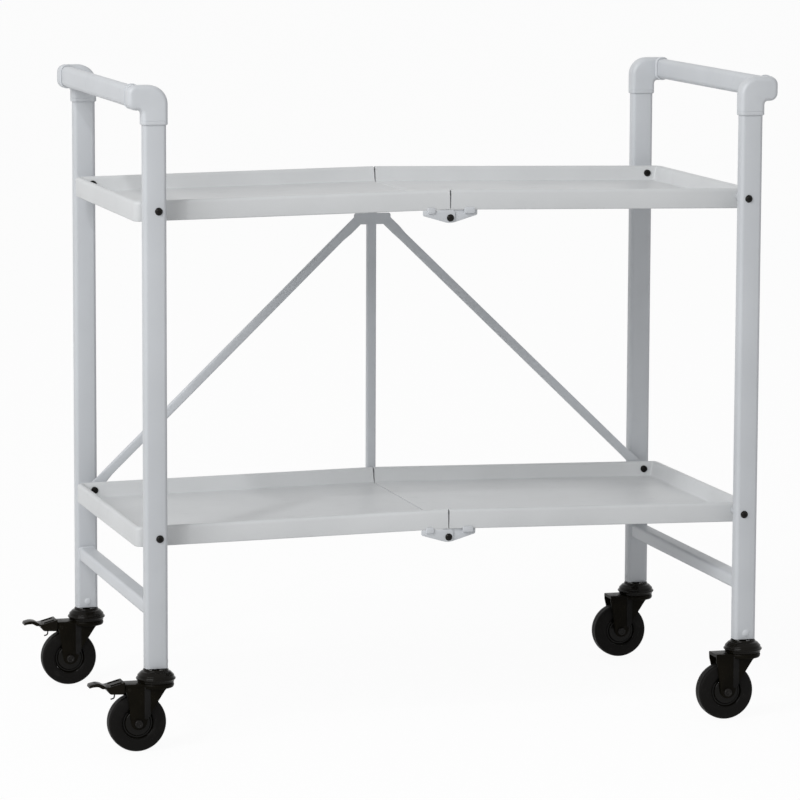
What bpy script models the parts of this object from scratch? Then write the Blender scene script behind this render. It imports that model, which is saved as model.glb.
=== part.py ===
"""Folding two-shelf bar cart on four swivel casters.

Two leg frames carry two trays. Each tray is two halves, screwed to the legs and hinged
in the middle, so lifting the middle folds the cart flat. A bar behind the trays ties the
two middle hinges, and two diagonal braces run up to a slider on that bar.
X runs along the cart, Y from front to back and Z up from the floor.
"""
import math

import bmesh
import bpy
from mathutils import Matrix

# Driving dimensions of the whole cart, in metres
LEG_SPACING_X = 0.780  # between leg centres, along the cart
TRAY_DEPTH = 0.374  # front to back over the trays' rims
BUSH_SPACE = 0.02075  # between a tray's rim and the legs beside it
LOWER_PIVOT_HEIGHT = 0.2688  # lower tray's pins
TRAY_SPACING = 0.4092  # from the lower tray's pins to the upper tray's
ELBOW_ABOVE_PIN = 0.1065  # from the upper tray's pins to the mouths of the elbows
GAP = 0.0003  # between pieces that touch
OVERRUN = 0.002  # how far a cutter passes what it cuts

# Legs, of rectangular tube with round corners
LEG_WIDTH = 0.029
LEG_DEPTH = 0.0185
LEG_CORNER = 0.005
TUBE_WALL = 0.0012
PIVOT_INSET = 0.004  # the tray pins sit this far inboard of the leg's centre

# Side crossbars, low between the front and rear legs
CROSSBAR_HEIGHT = 0.1775
CROSSBAR_WIDTH = 0.022
CROSSBAR_DEPTH = 0.018
CROSSBAR_CORNER = 0.004

# Moulded corner elbows
ELBOW_WALL = 0.0018
ELBOW_RISE = 0.0507
ELBOW_BEND = 0.0235
ELBOW_ROUND = 0.0085
ELBOW_EDGE = 0.0055
ELBOW_FILLET = 0.0045
SOCKET_DEPTH = 0.026
MOUTH_ROUND = 0.0009
ARM_HEIGHT = 0.0325
ARM_REACH = 0.0195  # beyond the leg's outer face
COLLAR_WALL = 0.0018
COLLAR_REACH = 0.006
RING_HEIGHT = 0.0005
RING_LENGTH = 0.004

# Handle bars, one across each end
HANDLE_WIDTH = 0.015
HANDLE_HEIGHT = 0.027
HANDLE_CORNER = 0.0068
HANDLE_INSERT = 0.022

# Half trays, of folded sheet with a hollow rim; heights are from the pins in the legs
RIM_ABOVE = 0.0098
RIM_BELOW = 0.0157
RIM_WIDTH = 0.0085
RIM_FLANGE = 0.006
RIM_FOLD = 0.0012
WELL_DEPTH = 0.0195
FLOOR_FILLET = 0.0015
CORNER_MARGIN = 0.0006  # least round left inside a tray corner
END_OVERHANG = 0.00425  # beyond the legs' outer faces
SHEET = 0.001
SLIT = 0.001  # between the halves, measured along each tray
MIDDLE_FLANGE = 0.010
MIDDLE_RISE = 0.0063  # the opened trays stand a little higher in the middle

# Middle hinges: leaves welded under the rims meet on a bolt
HINGE_DROP = 0.0104  # bolt below the rim's lower edge
LEAF_REACH = 0.036
LEAF_END = 0.006
LEAF_SHEET = 0.0016
LOBE_RADIUS = 0.0063
TAB_PLACE = 0.025
TAB_WIDTH = 0.012
TAB_RISE = 0.0035
TAB_DROP = 0.004
TAB_SHEET = 0.0015
HINGE_BOLT_RADIUS = 0.0025
HINGE_HEAD_RADIUS = 0.0047
HINGE_HEAD_HEIGHT = 0.0026
HINGE_NUT_RADIUS = 0.0043
HINGE_NUT_HEIGHT = 0.003

# Tray pins: a screw, its barrel nut and the bushes between tray and leg
SCREW_RADIUS = 0.0026
SCREW_HEAD_RADIUS = 0.0049
SCREW_HEAD_HEIGHT = 0.0028
BARREL_RADIUS = 0.0047
BARREL_HEIGHT = 0.004
BUSH_RADIUS = 0.0075

# Rear centre bar, slider and braces
BAR_WIDTH = 0.0125
BAR_DEPTH = 0.0085
BAR_CORNER = 0.0015
BAR_WALL = 0.001
BAR_END = 0.010  # past the hinge bolts
BAR_STANDOFF = 0.003  # behind the trays' rear face
SLIDER_DROP = 0.037  # brace pins below the upper hinge bolt
SLIDER_HEIGHT = 0.026
SLIDER_WALL = 0.0013
WING_REACH = 0.019  # brace pins beside the bar's centre
WING_MARGIN = 0.0065
WING_TAPER = 0.010
WING_ROUND = 0.003
BRACE_WIDTH = 0.0115
BRACE_DEPTH = 0.008
BRACE_CORNER = 0.0018
TONGUE_WIDTH = 0.0135
TONGUE_SHEET = 0.0016
TONGUE_CORNER = 0.0004
TONGUE_LENGTH = 0.020
CRIMP_LENGTH = 0.014
RIVET_HEAD_RADIUS = 0.0045
RIVET_HEAD_HEIGHT = 0.0018

# Casters: heights are from the floor, lengths from the swivel's axis
WHEEL_RADIUS = 0.037
WHEEL_WIDTH = 0.022
TRAIL = 0.025
HUB_RADIUS = 0.0205
HUB_WIDTH = 0.0205
BOSS_RADIUS = 0.0068
BOSS_WIDTH = 0.0235
WEB_WIDTH = 0.013
HUB_RIM = 0.003
TYRE_SHOULDER = 0.0045
TYRE_CROWN = 0.0011
AXLE_RADIUS = 0.003
AXLE_HEAD_RADIUS = 0.0055
AXLE_HEAD_HEIGHT = 0.003
FORK_TOP = 0.087
FORK_SHEET = 0.002
FORK_SPACE = 0.0254  # between the fork's cheeks
FORK_PAST_PIN = 0.0045  # behind the brake's pin
FORK_PLATE_RADIUS = 0.0232
AXLE_EYE_RADIUS = 0.0085
CAP_RADIUS = 0.025
CAP_HEIGHT = 0.0164
STEM_RADIUS = 0.005
STEM_HEAD_RADIUS = 0.0075
STEM_HEAD_HEIGHT = 0.0022
PLUG_HEIGHT = 0.030

# Foot brake on the left casters, measured from its pin
BRAKE_PIN_BACK = 0.0365
BRAKE_PIN_HEIGHT = 0.0805
BRAKE_PIN_RADIUS = 0.0018
BRAKE_LENGTH = 0.0498
BRAKE_HEIGHT = 0.010
BRAKE_WIDTH = 0.0285
BRAKE_TOE_WIDTH = 0.0175
BRAKE_NECK_WIDTH = 0.0236
BRAKE_EYE_RADIUS = 0.0038
BRAKE_SLOT_WIDTH = 0.010
BRAKE_SLOT_DEPTH = 0.0075
SPRING_WIRE = 0.0007

# Shares that shape the turned and cut outlines
CAP_SHARES = ((0.36, 0.94), (0.60, 1.0), (0.72, 0.89), (0.80, 0.74), (0.91, 0.51), (1.0, 0.30),
              (0.94, 0.16), (0.92, 0.0))
DOME_SHARES = ((0.0, 1.0), (0.48, 1.0), (0.88, 0.62), (1.0, 0.0))
FORK_FRONT_SHARES = ((0.70, 0.0), (0.66, 0.06), (0.42, 0.13), (0.0, 0.45), (-0.51, 0.84))
FORK_REAR_SHARES = ((0.885, 0.66), (0.94, 0.36), (1.0, 0.17), (1.0, 0.0))
BRAKE_BODY_SHARES = ((0.11, 1.0), (0.54, 0.42), (0.62, 0.44), (0.495, -0.47), (0.14, -0.55))
BRAKE_TOE_SHARES = ((0.48, 0.38), (0.59, 0.46), (0.68, 0.76), (0.81, 0.88), (0.98, 0.68),
                    (1.0, 0.31), (0.92, 0.43), (0.77, 0.46), (0.67, 0.16), (0.48, 0.12))
BRAKE_SLOT_SHARES = (0.19, 0.46)
BRAKE_NECK_SHARE = 0.30
SLIDER_BELOW_SHARE = 0.65
SPRING_SHARES = ((0.32, -0.58), (0.33, -0.86), (0.335, -1.08), (0.36, -1.24), (0.43, -1.33))

# Places worked out from the sizes above
HALF_X = LEG_SPACING_X / 2
RIM_FACE = TRAY_DEPTH / 2
LEG_FACE = RIM_FACE + BUSH_SPACE
LEG_BACK = LEG_FACE + LEG_DEPTH
HALF_Y = (LEG_FACE + LEG_BACK) / 2
FOOT_HEIGHT = FORK_TOP + CAP_HEIGHT + 2 * GAP
UPPER_PIVOT_HEIGHT = LOWER_PIVOT_HEIGHT + TRAY_SPACING
ELBOW_HEIGHT = UPPER_PIVOT_HEIGHT + ELBOW_ABOVE_PIN
HALF_SPAN = HALF_X - PIVOT_INSET
PIN_DROP = RIM_BELOW + HINGE_DROP
OPEN_TILT = math.atan2(MIDDLE_RISE, HALF_SPAN)
TRAY_RUN = (HALF_SPAN - PIN_DROP * math.sin(OPEN_TILT)) / math.cos(OPEN_TILT)
PIN_RISE = TRAY_RUN * math.sin(OPEN_TILT) - PIN_DROP * math.cos(OPEN_TILT)
BAR_FACE = RIM_FACE + BAR_STANDOFF
UPPER_PIN = UPPER_PIVOT_HEIGHT + PIN_RISE
LOWER_PIN = LOWER_PIVOT_HEIGHT + PIN_RISE
SLIDER_PIN = UPPER_PIN - SLIDER_DROP
BRACE_RUN = HALF_SPAN - WING_REACH
BRACE_RISE = SLIDER_PIN - LOWER_PIVOT_HEIGHT
BRACE_LENGTH = math.hypot(BRACE_RUN, BRACE_RISE)
BRACE_ANGLE = math.atan2(BRACE_RISE, BRACE_RUN)
ARM_CENTRE = ELBOW_RISE - ARM_HEIGHT / 2
HANDLE_OUT = LEG_WIDTH / 2 + ARM_REACH - COLLAR_WALL - HANDLE_WIDTH / 2
ELBOW_HALF_DEPTH = LEG_DEPTH / 2 + ELBOW_WALL
FORK_HALF = FORK_SPACE / 2 + FORK_SHEET
FORK_TAIL = BRAKE_PIN_BACK + FORK_PAST_PIN
CASTER_REACH = BRAKE_PIN_BACK + BRAKE_LENGTH
HANDLE_REACH = LEG_WIDTH / 2 + ARM_REACH + RING_HEIGHT

# Facets round small and large turned pieces
SMALL_ROUND = 8
LARGE_ROUND = 16
TYRE_ROUND = 24


def material(name, colour, roughness, metallic=0.0):
    """A plain finish for one kind of piece."""
    mat = bpy.data.materials.new(name)
    mat.use_nodes = True
    shader = mat.node_tree.nodes["Principled BSDF"]
    shader.inputs["Base Color"].default_value = (*colour, 1.0)
    shader.inputs["Roughness"].default_value = roughness
    shader.inputs["Metallic"].default_value = metallic
    return mat


def body(name, location, tilt=0.0, parent=None):
    """An empty that carries one moving group, on its joint's axis."""
    empty = bpy.data.objects.new(name, None)
    bpy.context.collection.objects.link(empty)
    empty.parent = parent
    empty.location = location
    empty.rotation_euler = (0, tilt, 0)
    return empty


def solid(name, bm, mat, parent, location=(0, 0, 0), tilt=0.0, surface=False):
    """Turn a bmesh into a named, smooth-shaded object under its body."""
    if not surface:
        bmesh.ops.recalc_face_normals(bm, faces=bm.faces)
    mesh = bpy.data.meshes.new(name)
    bm.to_mesh(mesh)
    bm.free()
    mesh.materials.append(mat)
    mesh.shade_smooth()
    mesh.set_sharp_from_angle(angle=math.radians(32))
    obj = bpy.data.objects.new(name, mesh)
    bpy.context.collection.objects.link(obj)
    obj.parent = parent
    obj.location = location
    obj.rotation_euler = (0, tilt, 0)
    return obj


def combine(target, bm, operation):
    """Cut a bmesh out of an object, or join it on, with a hidden helper."""
    helper = solid(f"{target.name}_{operation.lower()}_{len(target.modifiers)}", bm,
                   target.data.materials[0], target)
    helper.hide_render = True
    helper.display_type = "WIRE"
    modifier = target.modifiers.new(operation.title(), "BOOLEAN")
    modifier.operation = operation
    modifier.object = helper


def spot(axis, a, b, t):
    """A point at (a, b) in the plane across an axis, t along it."""
    return {"X": (t, a, b), "Y": (a, t, b), "Z": (a, b, t)}[axis]


def rounded(width, height, radius, segments=2, centre=(0, 0)):
    """Outline of a rectangle with round corners."""
    radius = min(radius, width / 2, height / 2)
    points = []
    for quarter, (sx, sy) in enumerate(((1, 1), (-1, 1), (-1, -1), (1, -1))):
        for step in range(segments + 1):
            angle = (quarter + step / segments) * math.pi / 2
            points.append((centre[0] + sx * (width / 2 - radius) + radius * math.cos(angle),
                           centre[1] + sy * (height / 2 - radius) + radius * math.sin(angle)))
    return points


def arc(centre, radius, start, stop, steps):
    """Points on an arc, with its angles in degrees."""
    angles = [math.radians(start + (stop - start) * i / steps) for i in range(steps + 1)]
    return [(centre[0] + radius * math.cos(a), centre[1] + radius * math.sin(a)) for a in angles]


def circle(radius, segments=SMALL_ROUND, centre=(0, 0)):
    """Outline of a full circle."""
    return arc(centre, radius, 0, 360 - 360 / segments, segments - 1)


def loft(sections, bm=None):
    """A solid through several sections of equal length, grown from the first one's face."""
    bm = bm or bmesh.new()
    face = bm.faces.new([bm.verts.new(point) for point in sections[0]])
    for number, section in enumerate(sections[1:]):
        grown = bmesh.ops.extrude_face_region(bm, geom=[face])
        if number:
            bmesh.ops.delete(bm, geom=[face], context="FACES_ONLY")
        face = next(item for item in grown["geom"] if isinstance(item, bmesh.types.BMFace))
        for vert, point in zip(face.verts, section):
            vert.co = point
    return bm


def prism(outline, low, high, axis="Y", bm=None):
    """An outline drawn across an axis and extruded along it."""
    return loft([[spot(axis, a, b, t) for a, b in outline] for t in (low, high)], bm)


def tube(outer, inner, low, high, axis):
    """An open tube between two outlines: their ring, extruded."""
    bm = bmesh.new()
    edges = []
    for outline in (outer, inner):
        verts = [bm.verts.new(spot(axis, a, b, low)) for a, b in outline]
        edges += [bm.edges.new(pair) for pair in zip(verts, verts[1:] + verts[:1])]
    ring = bmesh.ops.bridge_loops(bm, edges=edges)["faces"]
    grown = bmesh.ops.extrude_face_region(bm, geom=ring)
    moved = [item for item in grown["geom"] if isinstance(item, bmesh.types.BMVert)]
    bmesh.ops.translate(bm, verts=moved, vec=spot(axis, 0, 0, high - low))
    return bm


def turned(profile, axis, steps, centre=(0, 0), start=0.0, bm=None):
    """Revolve (radius, height) points about an axis; a profile with a bore closes on itself."""
    bm = bm or bmesh.new()
    c, s = math.cos(start), math.sin(start)
    verts = [bm.verts.new(spot(axis, centre[0] + r * c, centre[1] + r * s, t)) for r, t in profile]
    edges = [bm.edges.new(pair) for pair in zip(verts, verts[1:])]
    if profile[0][0] > 0:
        edges.append(bm.edges.new((verts[-1], verts[0])))
    bmesh.ops.spin(bm, geom=verts + edges, cent=spot(axis, *centre, 0), axis=spot(axis, 0, 0, 1),
                   angle=2 * math.pi, steps=steps, use_merge=True)
    if profile[0][0] == 0:
        bmesh.ops.remove_doubles(bm, verts=bm.verts, dist=GAP / 100)
    return bm


def domed_head(radius, height, base):
    """Profile of a domed head from its tip to its rim, standing on its base."""
    return [(radius * r, base + height * t) for r, t in DOME_SHARES]


def mirrored(bm):
    """The same piece for the other side of the cart."""
    bmesh.ops.transform(bm, matrix=Matrix.Diagonal((-1, 1, 1, 1)), verts=bm.verts)
    return bm


# Clear the scene
for old in list(bpy.data.objects):
    bpy.data.objects.remove(old)

paint = material("powder_coat", (0.60, 0.63, 0.66), 0.45)
moulding = material("elbow_plastic", (0.62, 0.64, 0.67), 0.40)
black_steel = material("black_steel", (0.020, 0.018, 0.016), 0.30, 0.4)
black_plastic = material("black_plastic", (0.015, 0.014, 0.012), 0.35)
rubber = material("tyre_rubber", (0.022, 0.020, 0.018), 0.75)
zinc = material("plated_steel", (0.55, 0.54, 0.52), 0.35, 0.9)

# The bodies. The origin is under the middle of the whole cart, brakes and handles included
cart = body("cart", ((CASTER_REACH - HANDLE_REACH) / 2, 0, 0))
frames = {-1: body("left_frame", (0, 0, 0), parent=cart), 1: body("right_frame", (0, 0, 0), parent=cart)}
ENDS = {-1: "left", 1: "right"}
SIDES = {-1: "front", 1: "rear"}
TIERS = {"upper": UPPER_PIVOT_HEIGHT, "lower": LOWER_PIVOT_HEIGHT}


def make_leg(end, side):
    """A leg tube, drilled for the tray screws, with its head inside the elbow."""
    outer = rounded(LEG_WIDTH, LEG_DEPTH, LEG_CORNER)
    inner = rounded(LEG_WIDTH - 2 * TUBE_WALL, LEG_DEPTH - 2 * TUBE_WALL, LEG_CORNER - TUBE_WALL)
    length = ELBOW_HEIGHT + SOCKET_DEPTH - FOOT_HEIGHT
    leg = solid(f"leg_{SIDES[side]}_{ENDS[end]}", tube(outer, inner, 0, length, "Z"), paint,
                frames[end], (end * HALF_X, side * HALF_Y, FOOT_HEIGHT))
    holes = bmesh.new()
    for height in TIERS.values():
        centre = (-end * PIVOT_INSET, height - FOOT_HEIGHT)
        prism(circle(SCREW_RADIUS + GAP, centre=centre), -LEG_DEPTH, LEG_DEPTH, "Y", holes)
    combine(leg, holes, "DIFFERENCE")


def make_elbow(end, side):
    """A moulded elbow: leg socket below, arm outboard, collar for the handle bar."""
    half = LEG_WIDTH / 2 + ELBOW_WALL
    reach = LEG_WIDTH / 2 + ARM_REACH
    low = ELBOW_RISE - ARM_HEIGHT
    outline = [(MOUTH_ROUND - half, 0), (-half, MOUTH_ROUND)]
    outline += arc((ELBOW_BEND - half, ELBOW_RISE - ELBOW_BEND), ELBOW_BEND, 180, 90, 5)
    outline += arc((reach - ELBOW_ROUND, ELBOW_RISE - ELBOW_ROUND), ELBOW_ROUND, 90, 0, 3)
    outline += arc((reach - ELBOW_ROUND, low + ELBOW_ROUND), ELBOW_ROUND, 0, -90, 3)
    outline += arc((half + ELBOW_FILLET, low - ELBOW_FILLET), ELBOW_FILLET, 90, 180, 2)
    outline += [(half, MOUTH_ROUND), (half - MOUTH_ROUND, 0)]
    bm = prism(outline, -ELBOW_HALF_DEPTH, ELBOW_HALF_DEPTH)
    faces = [f for f in bm.faces if len(f.verts) == len(outline)]
    rims = {e for f in faces for e in f.edges if any(v.co.z > 0 for v in e.verts)}
    bmesh.ops.bevel(bm, geom=list(rims), offset=ELBOW_EDGE, segments=3, profile=0.5,
                    affect="EDGES", clamp_overlap=True, material=-1)
    if end < 0:
        mirrored(bm)
    elbow = solid(f"elbow_{SIDES[side]}_{ENDS[end]}", bm, moulding, frames[end],
                  (end * HALF_X, side * HALF_Y, ELBOW_HEIGHT))
    centre = (end * HANDLE_OUT, ARM_CENTRE)
    grow = 2 * COLLAR_WALL
    wide = grow + 2 * RING_HEIGHT
    corner = HANDLE_CORNER + COLLAR_WALL
    plain = rounded(HANDLE_WIDTH + grow, HANDLE_HEIGHT + grow, corner, 2, centre)
    raised = rounded(HANDLE_WIDTH + wide, HANDLE_HEIGHT + wide, corner, 2, centre)
    mouth = ELBOW_HALF_DEPTH + COLLAR_REACH
    rings = ((plain, 0), (plain, mouth - RING_LENGTH), (raised, mouth - RING_LENGTH + RING_HEIGHT),
             (raised, mouth - RING_HEIGHT), (plain, mouth))
    collar = loft([[(x, -side * y, z) for x, z in ring] for ring, y in rings])
    combine(elbow, collar, "UNION")
    bore = rounded(HANDLE_WIDTH + 2 * GAP, HANDLE_HEIGHT + 2 * GAP, HANDLE_CORNER + GAP, 2, centre)
    sockets = prism(bore, -side * (mouth - HANDLE_INSERT - GAP), -side * (mouth + OVERRUN))
    leg_hole = rounded(LEG_WIDTH + 2 * GAP, LEG_DEPTH + 2 * GAP, LEG_CORNER + GAP)
    prism(leg_hole, -OVERRUN, SOCKET_DEPTH + GAP, "Z", sockets)
    combine(elbow, sockets, "DIFFERENCE")


def make_end_bars(end):
    """The handle bar in its two collars and the crossbar between the two legs."""
    outer = rounded(HANDLE_WIDTH, HANDLE_HEIGHT, HANDLE_CORNER)
    inner = rounded(HANDLE_WIDTH - 2 * TUBE_WALL, HANDLE_HEIGHT - 2 * TUBE_WALL,
                    HANDLE_CORNER - TUBE_WALL)
    reach = HALF_Y - ELBOW_HALF_DEPTH - COLLAR_REACH + HANDLE_INSERT
    solid(f"handle_{ENDS[end]}", tube(outer, inner, -reach, reach, "Y"), paint, frames[end],
          (end * (HALF_X + HANDLE_OUT), 0, ELBOW_HEIGHT + ARM_CENTRE))
    outer = rounded(CROSSBAR_WIDTH, CROSSBAR_DEPTH, CROSSBAR_CORNER)
    inner = rounded(CROSSBAR_WIDTH - 2 * TUBE_WALL, CROSSBAR_DEPTH - 2 * TUBE_WALL,
                    CROSSBAR_CORNER - TUBE_WALL)
    reach = LEG_FACE - GAP
    solid(f"crossbar_{ENDS[end]}", tube(outer, inner, -reach, reach, "Y"), paint, frames[end],
          (end * HALF_X, 0, CROSSBAR_HEIGHT))


def make_tray_pin(tier, side, end):
    """A screw through leg and rim with its barrel nut, and bushes that hold the tray off the leg."""
    tongue = BAR_FACE + TONGUE_SHEET
    bushes = [(LEG_FACE - GAP, RIM_FACE + GAP)]
    if (tier, side) == ("lower", 1):
        bushes = [(LEG_FACE - GAP, tongue + GAP), (BAR_FACE - GAP, RIM_FACE + GAP)]
    head = LEG_BACK + GAP
    nut = RIM_FACE - RIM_WIDTH - GAP
    profile = domed_head(SCREW_HEAD_RADIUS, SCREW_HEAD_HEIGHT, head) + [(SCREW_RADIUS, head)]
    for outer, inner in bushes:
        profile += [(SCREW_RADIUS, outer), (BUSH_RADIUS, outer), (BUSH_RADIUS, inner),
                    (SCREW_RADIUS, inner)]
    profile += [(SCREW_RADIUS, nut), (BARREL_RADIUS, nut), (BARREL_RADIUS, nut - BARREL_HEIGHT),
                (0, nut - BARREL_HEIGHT)]
    pin = turned([(r, side * t) for r, t in profile], "Y", SMALL_ROUND)
    solid(f"{tier}_pin_{SIDES[side]}_{ENDS[end]}", pin, black_steel, frames[end],
          (end * HALF_SPAN, 0, TIERS[tier]))


def rim_section():
    """The rim as (inset, height) from its lower flange over the top to the floor."""
    bend = RIM_WIDTH / 2
    floor = RIM_ABOVE - WELL_DEPTH
    section = [(RIM_FLANGE, -RIM_BELOW), (RIM_FOLD, -RIM_BELOW), (0, RIM_FOLD - RIM_BELOW)]
    section += arc((bend, RIM_ABOVE - bend), bend, 180, 0, 4)
    section += [(RIM_WIDTH, floor + FLOOR_FILLET), (RIM_WIDTH + FLOOR_FILLET, floor)]
    return section


def rim_station(inset):
    """Plan of the rim at one inset: front middle, round front and rear corners, rear middle."""
    corner = RIM_WIDTH + FLOOR_FILLET + CORNER_MARGIN
    end = -(LEG_WIDTH / 2 + PIVOT_INSET + END_OVERHANG)
    middle = TRAY_RUN - SLIT / 2
    radius = corner - inset
    half = RIM_FACE - corner
    points = [(middle, -RIM_FACE + inset)]
    points += arc((end + corner, -half), radius, 270, 180, 2)
    points += arc((end + corner, half), radius, 180, 90, 2)
    points += [(middle, RIM_FACE - inset)]
    return points


def make_half_tray(tier, end, carrier, location):
    """Half a tray of folded sheet: floor, hollow rim on three sides, flange in the middle."""
    bm = bmesh.new()
    strips = []
    for inset, height in rim_section():
        verts = [bm.verts.new((-end * x, y, height)) for x, y in rim_station(inset)]
        strips.append([bm.edges.new(pair) for pair in zip(verts, verts[1:])])
    for first, second in zip(strips, strips[1:]):
        bmesh.ops.bridge_loops(bm, edges=first + second)
    inner = strips[-1]
    middle = bm.edges.new((inner[0].verts[0], inner[-1].verts[1]))
    bmesh.ops.contextual_create(bm, geom=inner + [middle])
    flange = bmesh.ops.extrude_edge_only(bm, edges=[middle])
    lower = [v for v in flange["geom"] if isinstance(v, bmesh.types.BMVert)]
    bmesh.ops.translate(bm, verts=lower, vec=(0, 0, -MIDDLE_FLANGE))
    bmesh.ops.recalc_face_normals(bm, faces=bm.faces)
    floor = max(bm.faces, key=lambda face: face.calc_area())
    if floor.normal.z < 0:
        bmesh.ops.reverse_faces(bm, faces=bm.faces)
    tray = solid(f"{tier}_tray_{ENDS[end]}", bm, paint, carrier, location, surface=True)
    skin = tray.modifiers.new("Sheet", "SOLIDIFY")
    skin.thickness = SHEET
    skin.offset = -1
    skin.use_even_offset = True
    holes = prism(circle(SCREW_RADIUS + GAP), -TRAY_DEPTH, TRAY_DEPTH)
    combine(tray, holes, "DIFFERENCE")
    add_leaves(tray, end)


def add_leaves(tray, end):
    """Weld the front and rear hinge leaves under a half tray, right ones inside left ones."""
    pin_x, pin_z = -end * TRAY_RUN, -PIN_DROP
    under = HINGE_DROP - GAP
    depth = GAP if end < 0 else 2 * GAP + LEAF_SHEET
    face = RIM_FACE - depth
    front = RIM_FACE + GAP
    outline = [(-LEAF_REACH, HINGE_DROP + RIM_FOLD), (-LEAF_REACH, under - LEAF_END)]
    outline += arc((0, 0), LOBE_RADIUS, -106, 30, 5) + [(0, HINGE_DROP + RIM_FOLD)]
    outline = [(pin_x - end * x, pin_z + z) for x, z in outline]
    bend = ((front, under + TAB_RISE), (front + TAB_SHEET, under + TAB_RISE),
            (front + TAB_SHEET, under - TAB_DROP), (face - LEAF_SHEET / 2, under - TAB_DROP),
            (face - LEAF_SHEET / 2, under - TAB_SHEET), (front, under - TAB_SHEET))
    tab = pin_x + end * TAB_PLACE
    hole = circle(HINGE_BOLT_RADIUS + GAP, centre=(pin_x, pin_z))
    plates, tabs, holes = bmesh.new(), bmesh.new(), bmesh.new()
    for side in SIDES:
        prism(outline, side * (face - LEAF_SHEET), side * face, "Y", plates)
        prism([(side * y, pin_z + z) for y, z in bend], tab - TAB_WIDTH / 2, tab + TAB_WIDTH / 2,
              "X", tabs)
        prism(hole, side * (face + OVERRUN), side * (face - LEAF_SHEET - OVERRUN), "Y", holes)
    combine(tray, plates, "UNION")
    combine(tray, tabs, "UNION")
    combine(tray, holes, "DIFFERENCE")


def make_hinge_bolts(tier, carrier, location):
    """The front hinge bolt, and the longer rear one that also holds the centre bar."""
    nut = RIM_FACE - 3 * GAP - 2 * LEAF_SHEET
    nose = [(HINGE_BOLT_RADIUS, nut), (HINGE_NUT_RADIUS, nut),
            (HINGE_NUT_RADIUS, nut - HINGE_NUT_HEIGHT), (0, nut - HINGE_NUT_HEIGHT)]
    front = domed_head(HINGE_HEAD_RADIUS, HINGE_HEAD_HEIGHT, RIM_FACE)
    front += [(HINGE_BOLT_RADIUS, RIM_FACE)]
    back = BAR_FACE + BAR_DEPTH + GAP
    rear = domed_head(HINGE_HEAD_RADIUS, HINGE_HEAD_HEIGHT, back)
    rear += [(HINGE_BOLT_RADIUS, back), (HINGE_BOLT_RADIUS, BAR_FACE - GAP),
             (HINGE_NUT_RADIUS, BAR_FACE - GAP), (HINGE_NUT_RADIUS, RIM_FACE),
             (HINGE_BOLT_RADIUS, RIM_FACE)]
    for side, profile in ((-1, front), (1, rear)):
        bolt = turned([(r, side * t) for r, t in profile + nose], "Y", SMALL_ROUND)
        solid(f"{tier}_hinge_bolt_{SIDES[side]}", bolt, black_steel, carrier, location)


def make_centre_bar():
    """The upright bar behind the trays, from the upper hinge bolt to the lower one."""
    carrier = body("centre_bar_pivot", (0, 0, UPPER_PIN), parent=cart)
    middle = BAR_FACE + BAR_DEPTH / 2
    outer = rounded(BAR_WIDTH, BAR_DEPTH, BAR_CORNER, 2, (0, middle))
    inner = rounded(BAR_WIDTH - 2 * BAR_WALL, BAR_DEPTH - 2 * BAR_WALL, BAR_CORNER - BAR_WALL, 2,
                    (0, middle))
    low = LOWER_PIN - UPPER_PIN - BAR_END
    bar = solid("centre_bar", tube(outer, inner, low, BAR_END, "Z"), paint, carrier)
    holes = bmesh.new()
    for height in (0, LOWER_PIN - UPPER_PIN):
        prism(circle(HINGE_BOLT_RADIUS + GAP, centre=(0, height)), BAR_FACE - OVERRUN,
              BAR_FACE + BAR_DEPTH + OVERRUN, "Y", holes)
    combine(bar, holes, "DIFFERENCE")


def make_slider():
    """The sleeve that slides on the centre bar, with a winged plate for the braces."""
    carrier = body("slider_place", (0, 0, SLIDER_PIN), parent=cart)
    middle = BAR_FACE + BAR_DEPTH / 2
    inner = rounded(BAR_WIDTH + 2 * GAP, BAR_DEPTH + 2 * GAP, BAR_CORNER + GAP, 2, (0, middle))
    around = 2 * (GAP + SLIDER_WALL)
    outer = rounded(BAR_WIDTH + around, BAR_DEPTH + around, BAR_CORNER + SLIDER_WALL, 2, (0, middle))
    low = -SLIDER_HEIGHT * SLIDER_BELOW_SHARE
    high = SLIDER_HEIGHT + low
    slider = solid("brace_slider", prism(outer, low, high, "Z"), paint, carrier)
    wing = WING_REACH + WING_MARGIN
    face = BAR_FACE - GAP
    plate = [(wing - WING_ROUND, high), (wing, high - WING_ROUND), (wing, -WING_MARGIN),
             (wing - WING_TAPER, low + WING_ROUND), (wing - WING_TAPER - WING_ROUND, low)]
    plate += [(-x, z) for x, z in plate[::-1]]
    combine(slider, prism(plate, face - SLIDER_WALL, face), "UNION")
    combine(slider, prism(inner, low - OVERRUN, high + OVERRUN, "Z"), "DIFFERENCE")


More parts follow.
